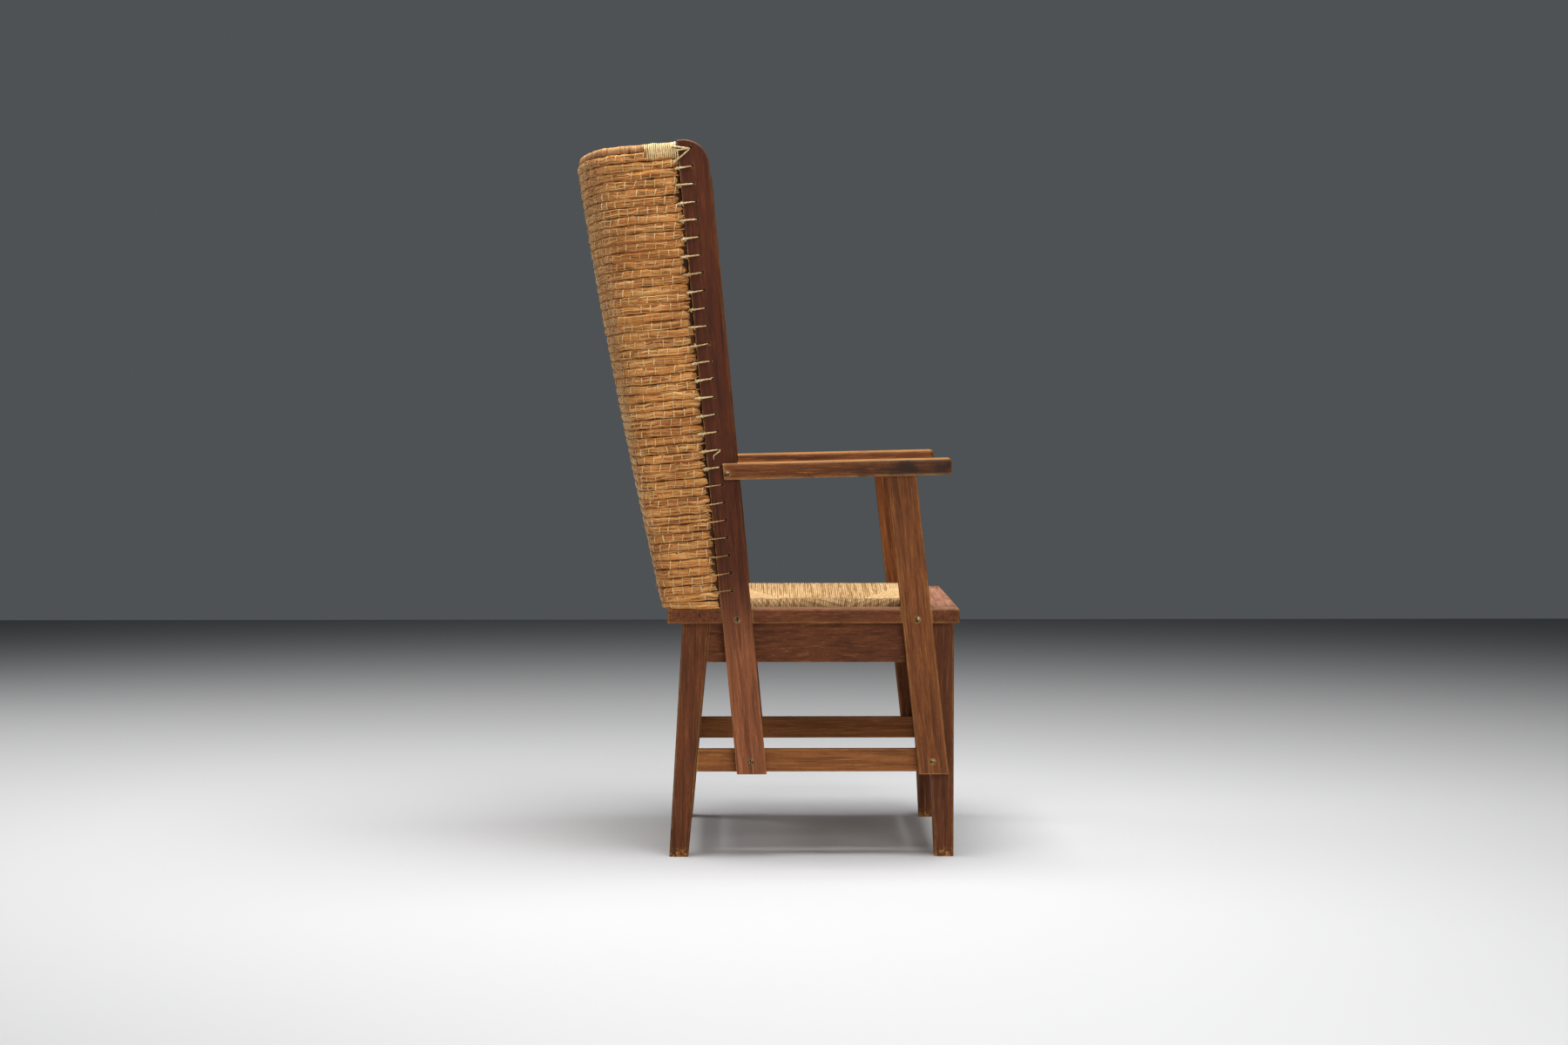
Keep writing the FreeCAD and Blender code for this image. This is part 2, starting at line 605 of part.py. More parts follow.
def back_upright(label):
    """Raked board that carries the straw: rounded at the top front, drilled for the lacing."""
    body = new_body(label)
    width = "Dims.upright_width"
    board = new_sketch(body, "YZ_Plane", BASE_OUT)
    rake_sketch(board, UPRIGHT_Y, "Dims.upright_rake")
    top = "((Dims.upright_height - Dims.seat_height) / cos(Dims.upright_rake))"
    corners = [
        (f"-{width}", level_on(UPRIGHT, f"-{width}", "Dims.post_foot")),
        ("0", level_on(UPRIGHT, "0", "Dims.post_foot")),
        ("0", top),
        (f"-{width}", top),
    ]
    draw_polygon(board, corners)
    pad(body, board, "Dims.post_thickness")
    across = [edge for edge in body.Shape.Edges if runs_along(edge, 0)]
    tops = sorted(across, key=lambda edge: -edge.CenterOfMass.z)[:2]
    crown = min(tops, key=lambda edge: edge.CenterOfMass.y).CenterOfMass
    soften(body, "Dims.upright_top_radius", lambda edge: (edge.CenterOfMass - crown).Length < NEAR)
    ease(body, "Dims.post_ease", lambda edge: is_front_edge(edge, body))
    lace = new_sketch(body, "YZ_Plane", BASE_OUT)
    rake_sketch(lace, UPRIGHT_Y, "Dims.upright_rake")
    draw_bore(lace, "-Dims.lace_inset", "2 * Dims.row_pitch", "Dims.lace_hole")
    hole = cut(body, lace, "Dims.post_thickness")
    row = body.newObject("PartDesign::LinearPattern", "LacingHoles")
    row.Originals = [hole]
    row.Direction = (lace, ["V_Axis"])
    row.setExpression("Length", "2 * Dims.row_pitch * (floor(Dims.row_count / 2) - 1)")
    row.setExpression("Occurrences", "floor(Dims.row_count / 2)")
    body.Tip = row
    doc.recompute()
    post_screw_holes(body, UPRIGHT)
    arm_hole = new_sketch(body, "YZ_Plane", POST_OUT)
    draw_bore(arm_hole, *ARM_SCREW, PILOT)
    depth = "Dims.arm_screw_length - Dims.arm_cheek + Dims.mortise_room"
    cut(body, arm_hole, depth, outward=False)
    return body


def is_front_edge(edge, body):
    """True for the edges that wrap the front of a post, from the foot over the rounded top."""
    box = body.Shape.BoundBox
    side = at(edge, 0, box.XMax) or at(edge, 0, box.XMin)
    if not side or runs_along(edge, 0):
        return False
    if isinstance(edge.Curve, Part.Circle):
        return True
    middle = edge.CenterOfMass
    behind = middle.y - size(raked_middle(UPRIGHT, str(middle.z)))
    return behind < 0 and edge.Length > size("Dims.upright_width")


ARM_SCREW_Y = f"({upright_front('Dims.arm_clear')} + Dims.arm_screw_inset)"
ARM_SCREW = (ARM_SCREW_Y, f"({arm_under(ARM_SCREW_Y)} + Dims.arm_screw_rise)")
ARM_POST_TENON = (
    "(-(Dims.arm_post_width + Dims.arm_tenon_width) / 2)",
    "(-(Dims.arm_post_width - Dims.arm_tenon_width) / 2)",
)


def arm_meets(u):
    """Where the armrest's underside meets the arm post at U across it, along the post."""
    rake = "Dims.arm_post_rake"
    slope = "tan(Dims.arm_slope)"
    rise = f"Dims.arm_clear - Dims.seat_height - ({ARM_POST_Y} - {ARM_FRONT}) * {slope}"
    lean = f"({u}) * (sin({rake}) - {slope} * cos({rake}))"
    return f"(({rise} + {lean}) / (cos({rake}) + {slope} * sin({rake})))"


def arm_post(label):
    """Raked post from the stretcher to the armrest, with a tenon on top."""
    body = new_body(label)
    width = "Dims.arm_post_width"
    board = new_sketch(body, "YZ_Plane", BASE_OUT)
    rake_sketch(board, ARM_POST_Y, "Dims.arm_post_rake")
    corners = [
        (f"-{width}", level_on(ARM_POST, f"-{width}", "Dims.post_foot")),
        ("0", level_on(ARM_POST, "0", "Dims.post_foot")),
        ("0", arm_meets("0")),
        (f"-{width}", arm_meets(f"-{width}")),
    ]
    draw_polygon(board, corners)
    pad(body, board, "Dims.post_thickness")
    long = size("Dims.arm_clear - Dims.seat_height")
    ease(body, "Dims.post_ease", lambda edge: edge.Length > long)
    inset = "(Dims.post_thickness - Dims.arm_tenon_thickness) / 2"
    tenon = new_sketch(body, "YZ_Plane", f"{BASE_OUT} + {inset}")
    rake_sketch(tenon, ARM_POST_Y, "Dims.arm_post_rake")
    draw_polygon(tenon, arm_tenon("0", "Dims.arm_tenon_length"))
    pad(body, tenon, "Dims.arm_tenon_thickness")
    post_screw_holes(body, ARM_POST)
    return body


def arm_tenon(play, length):
    """Outline of the arm post's tenon, or of its mortise with play, from inside the post's top."""
    low, high = ARM_POST_TENON
    rooted = "Dims.arm_tenon_length"
    return [
        (f"{low} - {play}", f"{arm_meets(low)} - {rooted}"),
        (f"{high} + {play}", f"{arm_meets(high)} - {rooted}"),
        (f"{high} + {play}", f"{arm_meets(high)} + {length}"),
        (f"{low} - {play}", f"{arm_meets(low)} + {length}"),
    ]


def armrest(label):
    """Board on the arm post whose rear tongue is screwed to the upright's outer face."""
    body = new_body(label)
    outer = f"({POST_OUT} + Dims.arm_cheek)"
    inner = f"({outer} - Dims.arm_width)"
    low_end = f"({upright_front(f'{arm_under(ARM_SCREW_Y)}')} + Dims.arm_overlap)"
    lean = "Dims.arm_thickness * tan(Dims.upright_rake)"
    high_end = f"({low_end} + {lean})"
    outline = new_sketch(body, "YZ_Plane", inner)
    corners = [
        (ARM_FRONT, arm_under(ARM_FRONT)),
        (low_end, arm_under(low_end)),
        (high_end, f"{arm_under(high_end)} + Dims.arm_thickness"),
        (ARM_FRONT, f"{arm_under(ARM_FRONT)} + Dims.arm_thickness"),
    ]
    draw_polygon(outline, corners)
    pad(body, outline, "Dims.arm_width")
    notch = new_sketch(body, "YZ_Plane", inner)
    below = "(Dims.arm_clear - 2 * Dims.arm_thickness)"
    above = "(Dims.arm_clear + 2 * Dims.arm_thickness)"
    reach = "2 * Dims.upright_width"
    region = [
        (upright_front(below), below),
        (f"{upright_front(below)} + {reach}", below),
        (f"{upright_front(above)} + {reach}", above),
        (upright_front(above), above),
    ]
    draw_polygon(notch, region)
    cut(body, notch, "Dims.arm_width - Dims.arm_cheek")
    front = size(ARM_FRONT)
    soften(body, "Dims.arm_corner", lambda edge: at(edge, 1, front) and runs_along(edge, 2))
    sides = (size(outer), size(inner))

    def on_top(edge):
        middle = edge.CenterOfMass
        if middle.z < size(f"{arm_under(middle.y)} + Dims.arm_thickness / 2"):
            return False
        along = any(at(edge, 0, side) for side in sides) and edge.Length > size("2 * Dims.arm_width")
        around = middle.y < front + size("Dims.arm_corner")
        return along or (around and not runs_along(edge, 2))

    soften(body, "Dims.arm_round", on_top)
    middle = "(Dims.post_thickness - Dims.arm_tenon_thickness) / 2 - Dims.joint_play"
    mortise = new_sketch(body, "YZ_Plane", f"{BASE_OUT} + {middle}")
    rake_sketch(mortise, ARM_POST_Y, "Dims.arm_post_rake")
    draw_polygon(mortise, arm_tenon("Dims.joint_play", "Dims.arm_tenon_length + Dims.mortise_room"))
    cut(body, mortise, "Dims.arm_tenon_thickness + 2 * Dims.joint_play")
    screw_hole(body, outer, *ARM_SCREW, "Dims.arm_cheek")
    return body


upright = back_upright("back_upright_left")
front_post = arm_post("arm_post_left")
arm = armrest("armrest_left")


def rod(label, sides, diameter, length, place):
    """A many-sided rod from a point on the outside towards the chair's middle."""
    item = doc.addObject("Part::Prism", label)
    item.Polygon = sides
    item.setExpression("Circumradius", f"({diameter}) / 2")
    item.setExpression("Height", length)
    item.Placement = FreeCAD.Placement(FreeCAD.Vector(), FreeCAD.Vector(0, 1, 0), -90)
    for axis, expression in zip("xyz", place):
        item.setExpression(f"Placement.Base.{axis}", expression)
    return item


def screw(name, face, y, z, length):
    """Screw driven towards the chair's middle, its head flush with the face."""
    whole = doc.addObject("Part::Fuse", name)
    whole.Base = rod(f"{name}_head", HEAD_SIDES, "Dims.screw_head", "Dims.screw_head_depth", (face, y, z))
    whole.Tool = rod(f"{name}_shank", SHANK_SIDES, "Dims.screw_shank", length, (face, y, z))
    return whole


def group(label, items):
    """Like pieces of both sides under one name."""
    left = doc.addObject("Part::Compound", f"{label}_one_side")
    left.Links = items
    right = mirror(left, f"{label}_other_side")
    whole = doc.addObject("Part::Compound", label)
    whole.Label = label
    whole.Links = [left, right]
    return whole


screws = []
for post_name, post in (("upright", UPRIGHT), ("arm_post", ARM_POST)):
    for place, height in (("seat", SEAT_SCREW), ("stretcher", LOW_SCREW)):
        label = f"{post_name}_{place}_screw"
        middle = raked_middle(post, height)
        screws.append(screw(label, POST_OUT, middle, height, "Dims.post_screw_length"))
post_screws = group("post_screws", screws)
arm_face = f"({POST_OUT} + Dims.arm_cheek)"
arm_screws = group("armrest_screws", [screw("arm_screw", arm_face, *ARM_SCREW, "Dims.arm_screw_length")])

# Drop-in seat: slip rails wrapped in rush, standing on the ledge of the seat frame.
RUSH_SIDE = f"({WELL_SIDE} - Dims.seat_gap)"
RUSH_FRONT = f"({WELL_FRONT} + Dims.seat_gap)"
RUSH_REAR = f"({WELL_REAR} - Dims.seat_gap)"
RUSH_TOP = "(Dims.seat_height + Dims.rush_rise)"
SLIP_SIDE = f"({RUSH_SIDE} - Dims.rush_wrap)"
SLIP_FRONT = f"({RUSH_FRONT} + Dims.rush_wrap)"
SLIP_REAR = f"({RUSH_REAR} - Dims.rush_wrap)"
SLIP_UNDER = f"({LEDGE} + Dims.rush_wrap)"
SLIP_TOP = f"({RUSH_TOP} - 2 * Dims.rush_wrap)"
SLIP_TENON_LOW = f"(({SLIP_UNDER} + {SLIP_TOP} - Dims.rail_tenon_thickness) / 2)"
SLIP_TENON_IN = f"({SLIP_SIDE} - (Dims.slip_width + Dims.rail_tenon_width) / 2)"


def slip_cross_rail(label, y0, y1, inner, reach):
    """Front or rear slip rail with a blind mortise near each end."""
    body = new_body(label)
    board = new_sketch(body, "YZ_Plane", f"-{SLIP_SIDE}")
    draw_polygon(board, box_corners(y0, y1, SLIP_UNDER, SLIP_TOP))
    pad(body, board, f"2 * {SLIP_SIDE}")
    mortise = new_sketch(body, "YZ_Plane", f"{SLIP_TENON_IN} - Dims.joint_play")
    low = f"{SLIP_TENON_LOW} - Dims.joint_play"
    high = f"{SLIP_TENON_LOW} + Dims.rail_tenon_thickness + Dims.joint_play"
    draw_polygon(mortise, box_corners(inner, f"{inner} + {reach}", low, high))
    both_sides(body, cut(body, mortise, "Dims.rail_tenon_width + 2 * Dims.joint_play"))
    return body


SLIP_INNER_FRONT = f"({SLIP_FRONT} + Dims.slip_width)"
SLIP_INNER_REAR = f"({SLIP_REAR} - Dims.slip_width)"
slip_front = slip_cross_rail(
    "slip_rail_front", SLIP_FRONT, SLIP_INNER_FRONT, SLIP_INNER_FRONT, f"(-1) * {TENON_DEPTH}"
)
slip_rear = slip_cross_rail("slip_rail_rear", SLIP_INNER_REAR, SLIP_REAR, SLIP_INNER_REAR, TENON_DEPTH)

slip_side = new_body("slip_rail_left")
slip_board = new_sketch(slip_side, "YZ_Plane", f"{SLIP_SIDE} - Dims.slip_width")
draw_polygon(slip_board, box_corners(SLIP_INNER_FRONT, SLIP_INNER_REAR, SLIP_UNDER, SLIP_TOP))
pad(slip_side, slip_board, "Dims.slip_width")
slip_tenons = new_sketch(slip_side, "YZ_Plane", SLIP_TENON_IN)
slip_ends = (f"{SLIP_INNER_FRONT} - Dims.tenon_length", f"{SLIP_INNER_REAR} + Dims.tenon_length")
slip_rise = (SLIP_TENON_LOW, f"{SLIP_TENON_LOW} + Dims.rail_tenon_thickness")
draw_polygon(slip_tenons, box_corners(*slip_ends, *slip_rise))
pad(slip_side, slip_tenons, "Dims.rail_tenon_width")


def woven_seat(label):
    """Rush pad: full at its edges, hollow in the middle, four slopes meeting on the weave's diagonals."""
    body = new_body(label)
    plan = new_sketch(body, "XY_Plane", LEDGE)
    draw_polygon(plan, box_corners(f"-{RUSH_SIDE}", RUSH_SIDE, RUSH_FRONT, RUSH_REAR))
    pad(body, plan, f"{RUSH_TOP} - {LEDGE}")
    top = size(RUSH_TOP)
    bottom = size(LEDGE)
    soften(body, "Dims.rush_edge", lambda edge: at(edge, 2, top))
    ease(body, "Dims.rush_hem", lambda edge: at(edge, 2, bottom))
    before = body.Shape.Volume
    dish = body.newObject("PartDesign::SubtractiveWedge", "Dish")
    half_x = f"({RUSH_SIDE} - Dims.rush_edge)"
    half_y = f"(({RUSH_REAR} - {RUSH_FRONT}) / 2 - Dims.rush_edge)"
    ridge = f"({half_x} - {half_y})"
    sizes = {
        "Xmin": f"-{half_x}",
        "Xmax": half_x,
        "Ymin": "0",
        "Ymax": "Dims.rush_dish",
        "Zmin": f"-{half_y}",
        "Zmax": half_y,
        "X2min": f"-{ridge}",
        "X2max": ridge,
        "Z2min": "0",
        "Z2max": "0",
    }
    for name, expression in sizes.items():
        dish.setExpression(name, expression)
    dish.AttachmentSupport = (origin_plane(body, "XY_Plane"), [""])
    dish.MapMode = "FlatFace"
    dish.AttachmentOffset = FreeCAD.Placement(FreeCAD.Vector(), FreeCAD.Vector(1, 0, 0), -90)
    dish.setExpression("AttachmentOffset.Base.y", f"({RUSH_FRONT} + {RUSH_REAR}) / 2")
    dish.setExpression("AttachmentOffset.Base.z", RUSH_TOP)
    doc.recompute()
    if not body.Shape.Volume < before:
        raise ValueError("the rush seat has no hollow")
    ring = new_sketch(body, "XY_Plane", SLIP_UNDER)
    draw_polygon(ring, box_corners(f"-{SLIP_SIDE}", SLIP_SIDE, SLIP_FRONT, SLIP_REAR))
    inner = f"({SLIP_SIDE} - Dims.slip_width)"
    draw_polygon(ring, box_corners(f"-{inner}", inner, SLIP_INNER_FRONT, SLIP_INNER_REAR))
    cut(body, ring, f"{SLIP_TOP} - {SLIP_UNDER}")
    return body


rush_seat = woven_seat("rush_seat")

# Straw mat. Its own frame stands on the seat at the uprights' rear edges and leans with them:
# X across the chair, W square to the uprights and to the rear, V up along them.
HALF = size(POST_OUT)
PITCH = size("Dims.row_pitch")
ROWS = int(size("Dims.row_count"))
GROOVE = size("Dims.straw_groove")
THICK = size("Dims.straw_thickness")
CORNER_STEPS = 3
BOW_STEPS = 3
RAKE = math.radians(size("Dims.upright_rake"))
MAT_PLACE = FreeCAD.Placement(
    FreeCAD.Vector(0, size(UPRIGHT_Y), size("Dims.seat_height")),
    FreeCAD.Vector(1, 0, 0),
    -size("Dims.upright_rake"),
)


def blend(low, high, share):
    """Straight change of a size from the seat to the rim."""
    return size(low) + (size(high) - size(low)) * share


def mat_plan(v):
    """Plan of the mat at V: straight length, corner radius, corner turn and radius of the rear bow."""
    share = v / (ROWS * PITCH)
    depth = blend("Dims.straw_depth_seat", "Dims.straw_depth_top", share)
    depth += size("Dims.straw_belly") * 4 * share * (1 - share)
    corner = blend("Dims.corner_radius_seat", "Dims.corner_radius_top", share)
    turn = math.radians(blend("Dims.corner_turn_seat", "Dims.corner_turn_top", share))
    bow = corner + (HALF - corner) / math.cos(turn)
    straight = depth - bow + (bow - corner) * math.sin(turn)
    return straight, corner, turn, bow


def u_points(v, inset):
    """Corners of the U line at an inset from the mat's outer face: sides, turns and the rear bow."""
    straight, corner, turn, bow = mat_plan(v)
    radius = corner - inset
    bow_centre = straight - (bow - corner) * math.sin(turn)
    right = [(HALF - inset, 0.0)]
    for step in range(CORNER_STEPS):
        angle = turn * step / CORNER_STEPS
        right.append((HALF - corner + radius * math.cos(angle), straight + radius * math.sin(angle)))
    for step in range(BOW_STEPS):
        angle = turn + (math.pi / 2 - turn) * step / BOW_STEPS
        right.append(((bow - inset) * math.cos(angle), bow_centre + (bow - inset) * math.sin(angle)))
    return right + [(0.0, bow_centre + bow - inset)] + [(-x, w) for x, w in reversed(right)]


def row_floor(row):
    """Height of the plane under a row: its V at the uprights and its rise to the rear."""
    wedge = size("Dims.wedge_rows")
    return row * PITCH, math.tan(RAKE) * max(0.0, 1 - row / wedge)


def mat_section(v, rise, groove):
    """Closed outline of the mat in one plane, drawn in by the groove on both faces."""
    line = u_points(v, groove) + u_points(v, THICK - groove)[::-1]
    return Part.makePolygon([FreeCAD.Vector(x, w, v + rise * w) for x, w in line + line[:1]])


sections = []
for row in range(ROWS):
    low, low_rise = row_floor(row)
    high, high_rise = row_floor(row + 1)
    sections.append(mat_section(low, low_rise, GROOVE))
    sections.append(mat_section((low + high) / 2, (low_rise + high_rise) / 2, 0.0))
sections.append(mat_section(*row_floor(ROWS), GROOVE))
straw_back = doc.addObject("Part::Feature", "straw_back")
straw_back.Label = "straw_back"
straw_back.Shape = Part.makeLoft(sections, True, True)
straw_back.Placement = MAT_PLACE


def many_sided(centre, side, rise, radius, sides):
    """Closed regular outline about a point, standing on the side and rise directions."""
    turns = [2 * math.pi * (k + 0.5) / sides for k in range(sides)]
    ring = [centre + side * (radius * math.cos(t)) + rise * (radius * math.sin(t)) for t in turns]
    return Part.makePolygon(ring + ring[:1])


# Bound rim roll, lying on the middle of the top row.
MITRED = 1
RIM_SIDES = 8
UP = FreeCAD.Vector(0, 0, 1)
rim_v = ROWS * PITCH
rim_centre = rim_v + size("Dims.rim_diameter") / 2 * math.cos(math.pi / RIM_SIDES)
rim_line = [FreeCAD.Vector(x, w, rim_centre) for x, w in u_points(rim_v, THICK / 2)]
rim_ring = many_sided(rim_line[0], FreeCAD.Vector(1, 0, 0), UP, size("Dims.rim_diameter / 2"), RIM_SIDES)
straw_rim = doc.addObject("Part::Feature", "straw_rim")
straw_rim.Label = "straw_rim"
straw_rim.Shape = Part.makePolygon(rim_line).makePipeShell([rim_ring], True, False, MITRED)
straw_rim.Placement = MAT_PLACE

# Lacing: one cord to every second groove, from the outer groove over the upright's face, through its
# hole and back over the inner face to the inner groove.
CORD = size("Dims.lace_diameter / 2")
LIFT = CORD + size("Dims.lace_lift")
CORD_SIDES = 6
nest = CORD / math.sin(math.atan2(PITCH / 2, GROOVE)) + size("Dims.lace_lift")
hole_w = -size("Dims.lace_inset")
bend_w = size("Dims.lace_bend")
reach_w = size("Dims.lace_reach")
inner_face = HALF - size("Dims.post_thickness")
LACE = [
    FreeCAD.Vector(HALF - GROOVE + nest, reach_w, 0),
    FreeCAD.Vector(HALF + LIFT, bend_w, 0),
    FreeCAD.Vector(HALF + LIFT, hole_w, 0),
    FreeCAD.Vector(inner_face - LIFT, hole_w, 0),
    FreeCAD.Vector(inner_face - LIFT, bend_w, 0),
    FreeCAD.Vector(HALF - THICK + GROOVE - nest, reach_w, 0),
]


def cord(v):
    """Cord along the route at V, mitred where two runs meet."""
    route = [point + FreeCAD.Vector(0, 0, v) for point in LACE]
    way = (route[1] - route[0]).normalize()
    ring = many_sided(route[0], FreeCAD.Vector(-way.y, way.x, 0), UP, CORD, CORD_SIDES)
    return Part.makePolygon(route).makePipeShell([ring], True, False, MITRED)


lacing_cords = [cord(2 * pair * PITCH) for pair in range(1, ROWS // 2 + 1)]
lacing = doc.addObject("Part::Feature", "lacing_left")
lacing.Label = "lacing_left"
lacing.Shape = Part.makeCompound(lacing_cords)
lacing.Placement = MAT_PLACE

pieces = [
    front_leg,
    mirror(front_leg, "front_leg_right"),
    rear_leg,
    mirror(rear_leg, "rear_leg_right"),
    side_apron,
    mirror(side_apron, "side_apron_right"),
    side_stretcher,
    mirror(side_stretcher, "side_stretcher_right"),
    front_apron,
    rear_apron,
    front_stretcher,
    rear_stretcher,
    seat_front_rail,
    seat_rear_rail,
    side_rail,
    mirror(side_rail, "seat_side_rail_right"),
    upright,
    mirror(upright, "back_upright_right"),
    front_post,
    mirror(front_post, "arm_post_right"),
    arm,
    mirror(arm, "armrest_right"),
    post_screws,
    arm_screws,
    slip_front,
    slip_rear,
    slip_side,
    mirror(slip_side, "slip_rail_right"),
    rush_seat,
    straw_back,
    straw_rim,
    lacing,
    mirror(lacing, "lacing_right"),
]
doc.recompute()

for item in doc.Objects:
    if "Invalid" in item.State or "Error" in item.State:
        raise RuntimeError(f"{item.Label} failed: {item.State}")
for piece in pieces:
    if piece.Shape.isNull() or not piece.Shape.isValid():
        raise RuntimeError(f"{piece.Label} has no valid shape")
for piece in pieces:
    piece.Shape.exportStep(f"parts/{piece.Label}.step")
    print(piece.Label, len(piece.Shape.Solids), round(piece.Shape.Volume / 1000, 1), "cm3")
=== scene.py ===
# %% [markdown]
# # A straw-backed chair
# The joinery of this chair comes from the imported model, exact and with its joints. What a solid
# modeller draws poorly is what this lesson adds: the coiled straw back with its stitching, the rush
# seat, the lacing, and the surface of old hardwood. The frame is loaded first.

# %% Load the frame
import math

import bpy
import numpy as np
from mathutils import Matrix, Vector


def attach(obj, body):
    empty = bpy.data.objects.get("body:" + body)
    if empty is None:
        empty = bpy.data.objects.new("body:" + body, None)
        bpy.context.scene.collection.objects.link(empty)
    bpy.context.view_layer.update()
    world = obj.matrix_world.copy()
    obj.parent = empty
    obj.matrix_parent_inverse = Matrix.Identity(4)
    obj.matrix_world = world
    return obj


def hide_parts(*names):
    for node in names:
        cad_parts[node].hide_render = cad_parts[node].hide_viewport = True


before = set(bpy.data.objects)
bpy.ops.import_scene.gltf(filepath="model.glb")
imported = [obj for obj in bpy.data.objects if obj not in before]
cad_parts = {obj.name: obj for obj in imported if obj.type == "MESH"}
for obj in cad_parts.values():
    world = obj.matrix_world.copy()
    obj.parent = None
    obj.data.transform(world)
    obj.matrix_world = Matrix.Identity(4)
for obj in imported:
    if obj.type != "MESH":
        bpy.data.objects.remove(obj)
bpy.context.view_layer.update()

# %% [markdown]
# ## The camera
# The photograph looks at the right side of the chair, from a little above the arms. A long lens far
# away keeps the seat's near and far edges almost parallel. A camera can be aimed at a target, but
# this one's place was worked out from the floor line and from the parallel rails, so it is written
# here as plain distances and two small angles.

# %% Camera
MM = 0.001
CAMERA_PLACE = np.array([-5573.0, 41.5, 803.7]) * MM
LENS = 75.7
SENSOR_WIDTH = 36.0
LOOK_DOWN = math.radians(2.798)
LOOK_FORWARD = math.radians(0.757)

camera_data = bpy.data.cameras.new("side_camera")
camera_data.lens = LENS
camera_data.sensor_width = SENSOR_WIDTH
camera = bpy.data.objects.new("side_camera", camera_data)
bpy.context.collection.objects.link(camera)
camera.location = CAMERA_PLACE
camera.rotation_euler = (math.pi / 2 - LOOK_DOWN, 0.0, -math.pi / 2 - LOOK_FORWARD)
bpy.context.scene.camera = camera
bpy.context.scene.view_settings.view_transform = "Standard"
print("camera at", tuple(camera.location), "lens", LENS)

# %% [markdown]
# ## Nodes in few words
# Every finish below is a net of shader nodes, as one would draw it by hand in the shader editor.
# Written out in full, such a net is long and hard to follow. So each helper here adds one node, fills
# its sockets with links or plain values, and hands back the socket that the next node needs.

# %% Node helpers
def tone(red, green, blue):
    """A colour written as 0 to 255 screen values, turned into linear light by the usual screen curve."""
    screen = np.array([red, green, blue]) / 255
    linear = np.where(screen < 0.04045, screen / 12.92, ((screen + 0.055) / 1.055) ** 2.4)
    return (*linear.tolist(), 1.0)


def fill(tree, node, wires):
    """Fills a node's sockets: another node's socket is linked, anything else is set as a value."""
    for socket, value in wires.items():
        if isinstance(value, bpy.types.NodeSocket):
            tree.links.new(value, node.inputs[socket])
        else:
            node.inputs[socket].default_value = value


def put(tree, kind, wires=(), **settings):
    """Adds one shader node: settings are its properties, wires fill its sockets."""
    node = tree.nodes.new("ShaderNode" + kind)
    for name, value in settings.items():
        setattr(node, name, value)
    fill(tree, node, dict(wires))
    return node


def math_node(tree, operation, first, second=0.0, clamp=False):
    """The result of one Math node."""
    return put(tree, "Math", {0: first, 1: second}, operation=operation, use_clamp=clamp).outputs[0]


def times(tree, first, second):
    """The product of two values."""
    return math_node(tree, "MULTIPLY", first, second)


def mix(tree, factor, first, second):
    """One colour laid over another by a factor."""
    return put(tree, "Mix", {0: factor, 6: first, 7: second}, data_type="RGBA").outputs[2]


print("screen grey 128 is", round(tone(128, 128, 128)[0], 3), "in linear light")

# %% [markdown]
# ## Patterns and places
# Old wood and straw are uneven everywhere, and their patterns come from noise at several scales. A
# picture would repeat and blur close up, and noise does neither. A soft step then turns grey noise
# into patches with an edge, and a place on the chair says where a pattern belongs.

# %% Pattern helpers
NOISE_DETAIL = 3.0


def steps(tree, factor, low, high, from_value=0.0, to_value=1.0):
    """A soft step: FROM_VALUE below LOW, TO_VALUE above HIGH."""
    wires = {"Value": factor, "From Min": low, "From Max": high, "To Min": from_value, "To Max": to_value}
    return put(tree, "MapRange", wires, interpolation_type="SMOOTHSTEP").outputs["Result"]


def noise(tree, vector, scale, detail=NOISE_DETAIL, roughness=0.55, distortion=0.0):
    """Grey noise from 0 to 1 at a scale."""
    wires = {"Vector": vector, "Scale": scale, "Detail": detail, "Roughness": roughness}
    wires["Distortion"] = distortion
    return put(tree, "TexNoise", wires).outputs[0]


def bump(tree, height, strength, distance):
    """A Bump node's normal from a height."""
    wires = {"Height": height, "Strength": strength, "Distance": distance}
    return put(tree, "Bump", wires).outputs[0]


def split(tree, vector):
    """The three parts of a vector."""
    return put(tree, "SeparateXYZ", {0: vector}).outputs


def object_spot(tree):
    """The place on the piece in metres, which stays with it when it moves."""
    return put(tree, "TexCoord").outputs["Object"]


print("noise has detail", NOISE_DETAIL, "unless a finish names another")

# %% [markdown]
# ## Shared groups and finishes
# Grain, wear and straw streaks are wanted in many finishes, each time with other values. The same
# nodes could be copied into each, but a node group with named sockets is built once and stays
# readable. The Principled shader itself stays in each finish, because the export reads it there.

# %% Group helpers
def new_group(name, takes, gives):
    """Starts a node group with named sockets and returns it with its inner ends."""
    group = bpy.data.node_groups.new(name, "ShaderNodeTree")
    for way, sockets in (("INPUT", takes), ("OUTPUT", gives)):
        for label, kind in sockets.items():
            group.interface.new_socket(label, in_out=way, socket_type="NodeSocket" + kind)
    inside = group.nodes.new("NodeGroupInput").outputs
    outside = group.nodes.new("NodeGroupOutput").inputs
    return group, inside, outside


def give(group, outside, **results):
    """Links results to the group's outputs by their names."""
    for label, socket in results.items():
        group.links.new(socket, outside[label])


def place_group(tree, group, wires):
    """Puts a group into a material with its own values and returns its outputs."""
    return put(tree, "Group", wires, node_tree=group).outputs


def new_finish(name):
    """Starts a material and returns it with its node tree and its Principled shader."""
    material = bpy.data.materials.new(name)
    material.use_nodes = True
    tree = material.node_tree
    return material, tree, tree.nodes["Principled BSDF"]


print("materials before any finish:", len(bpy.data.materials))

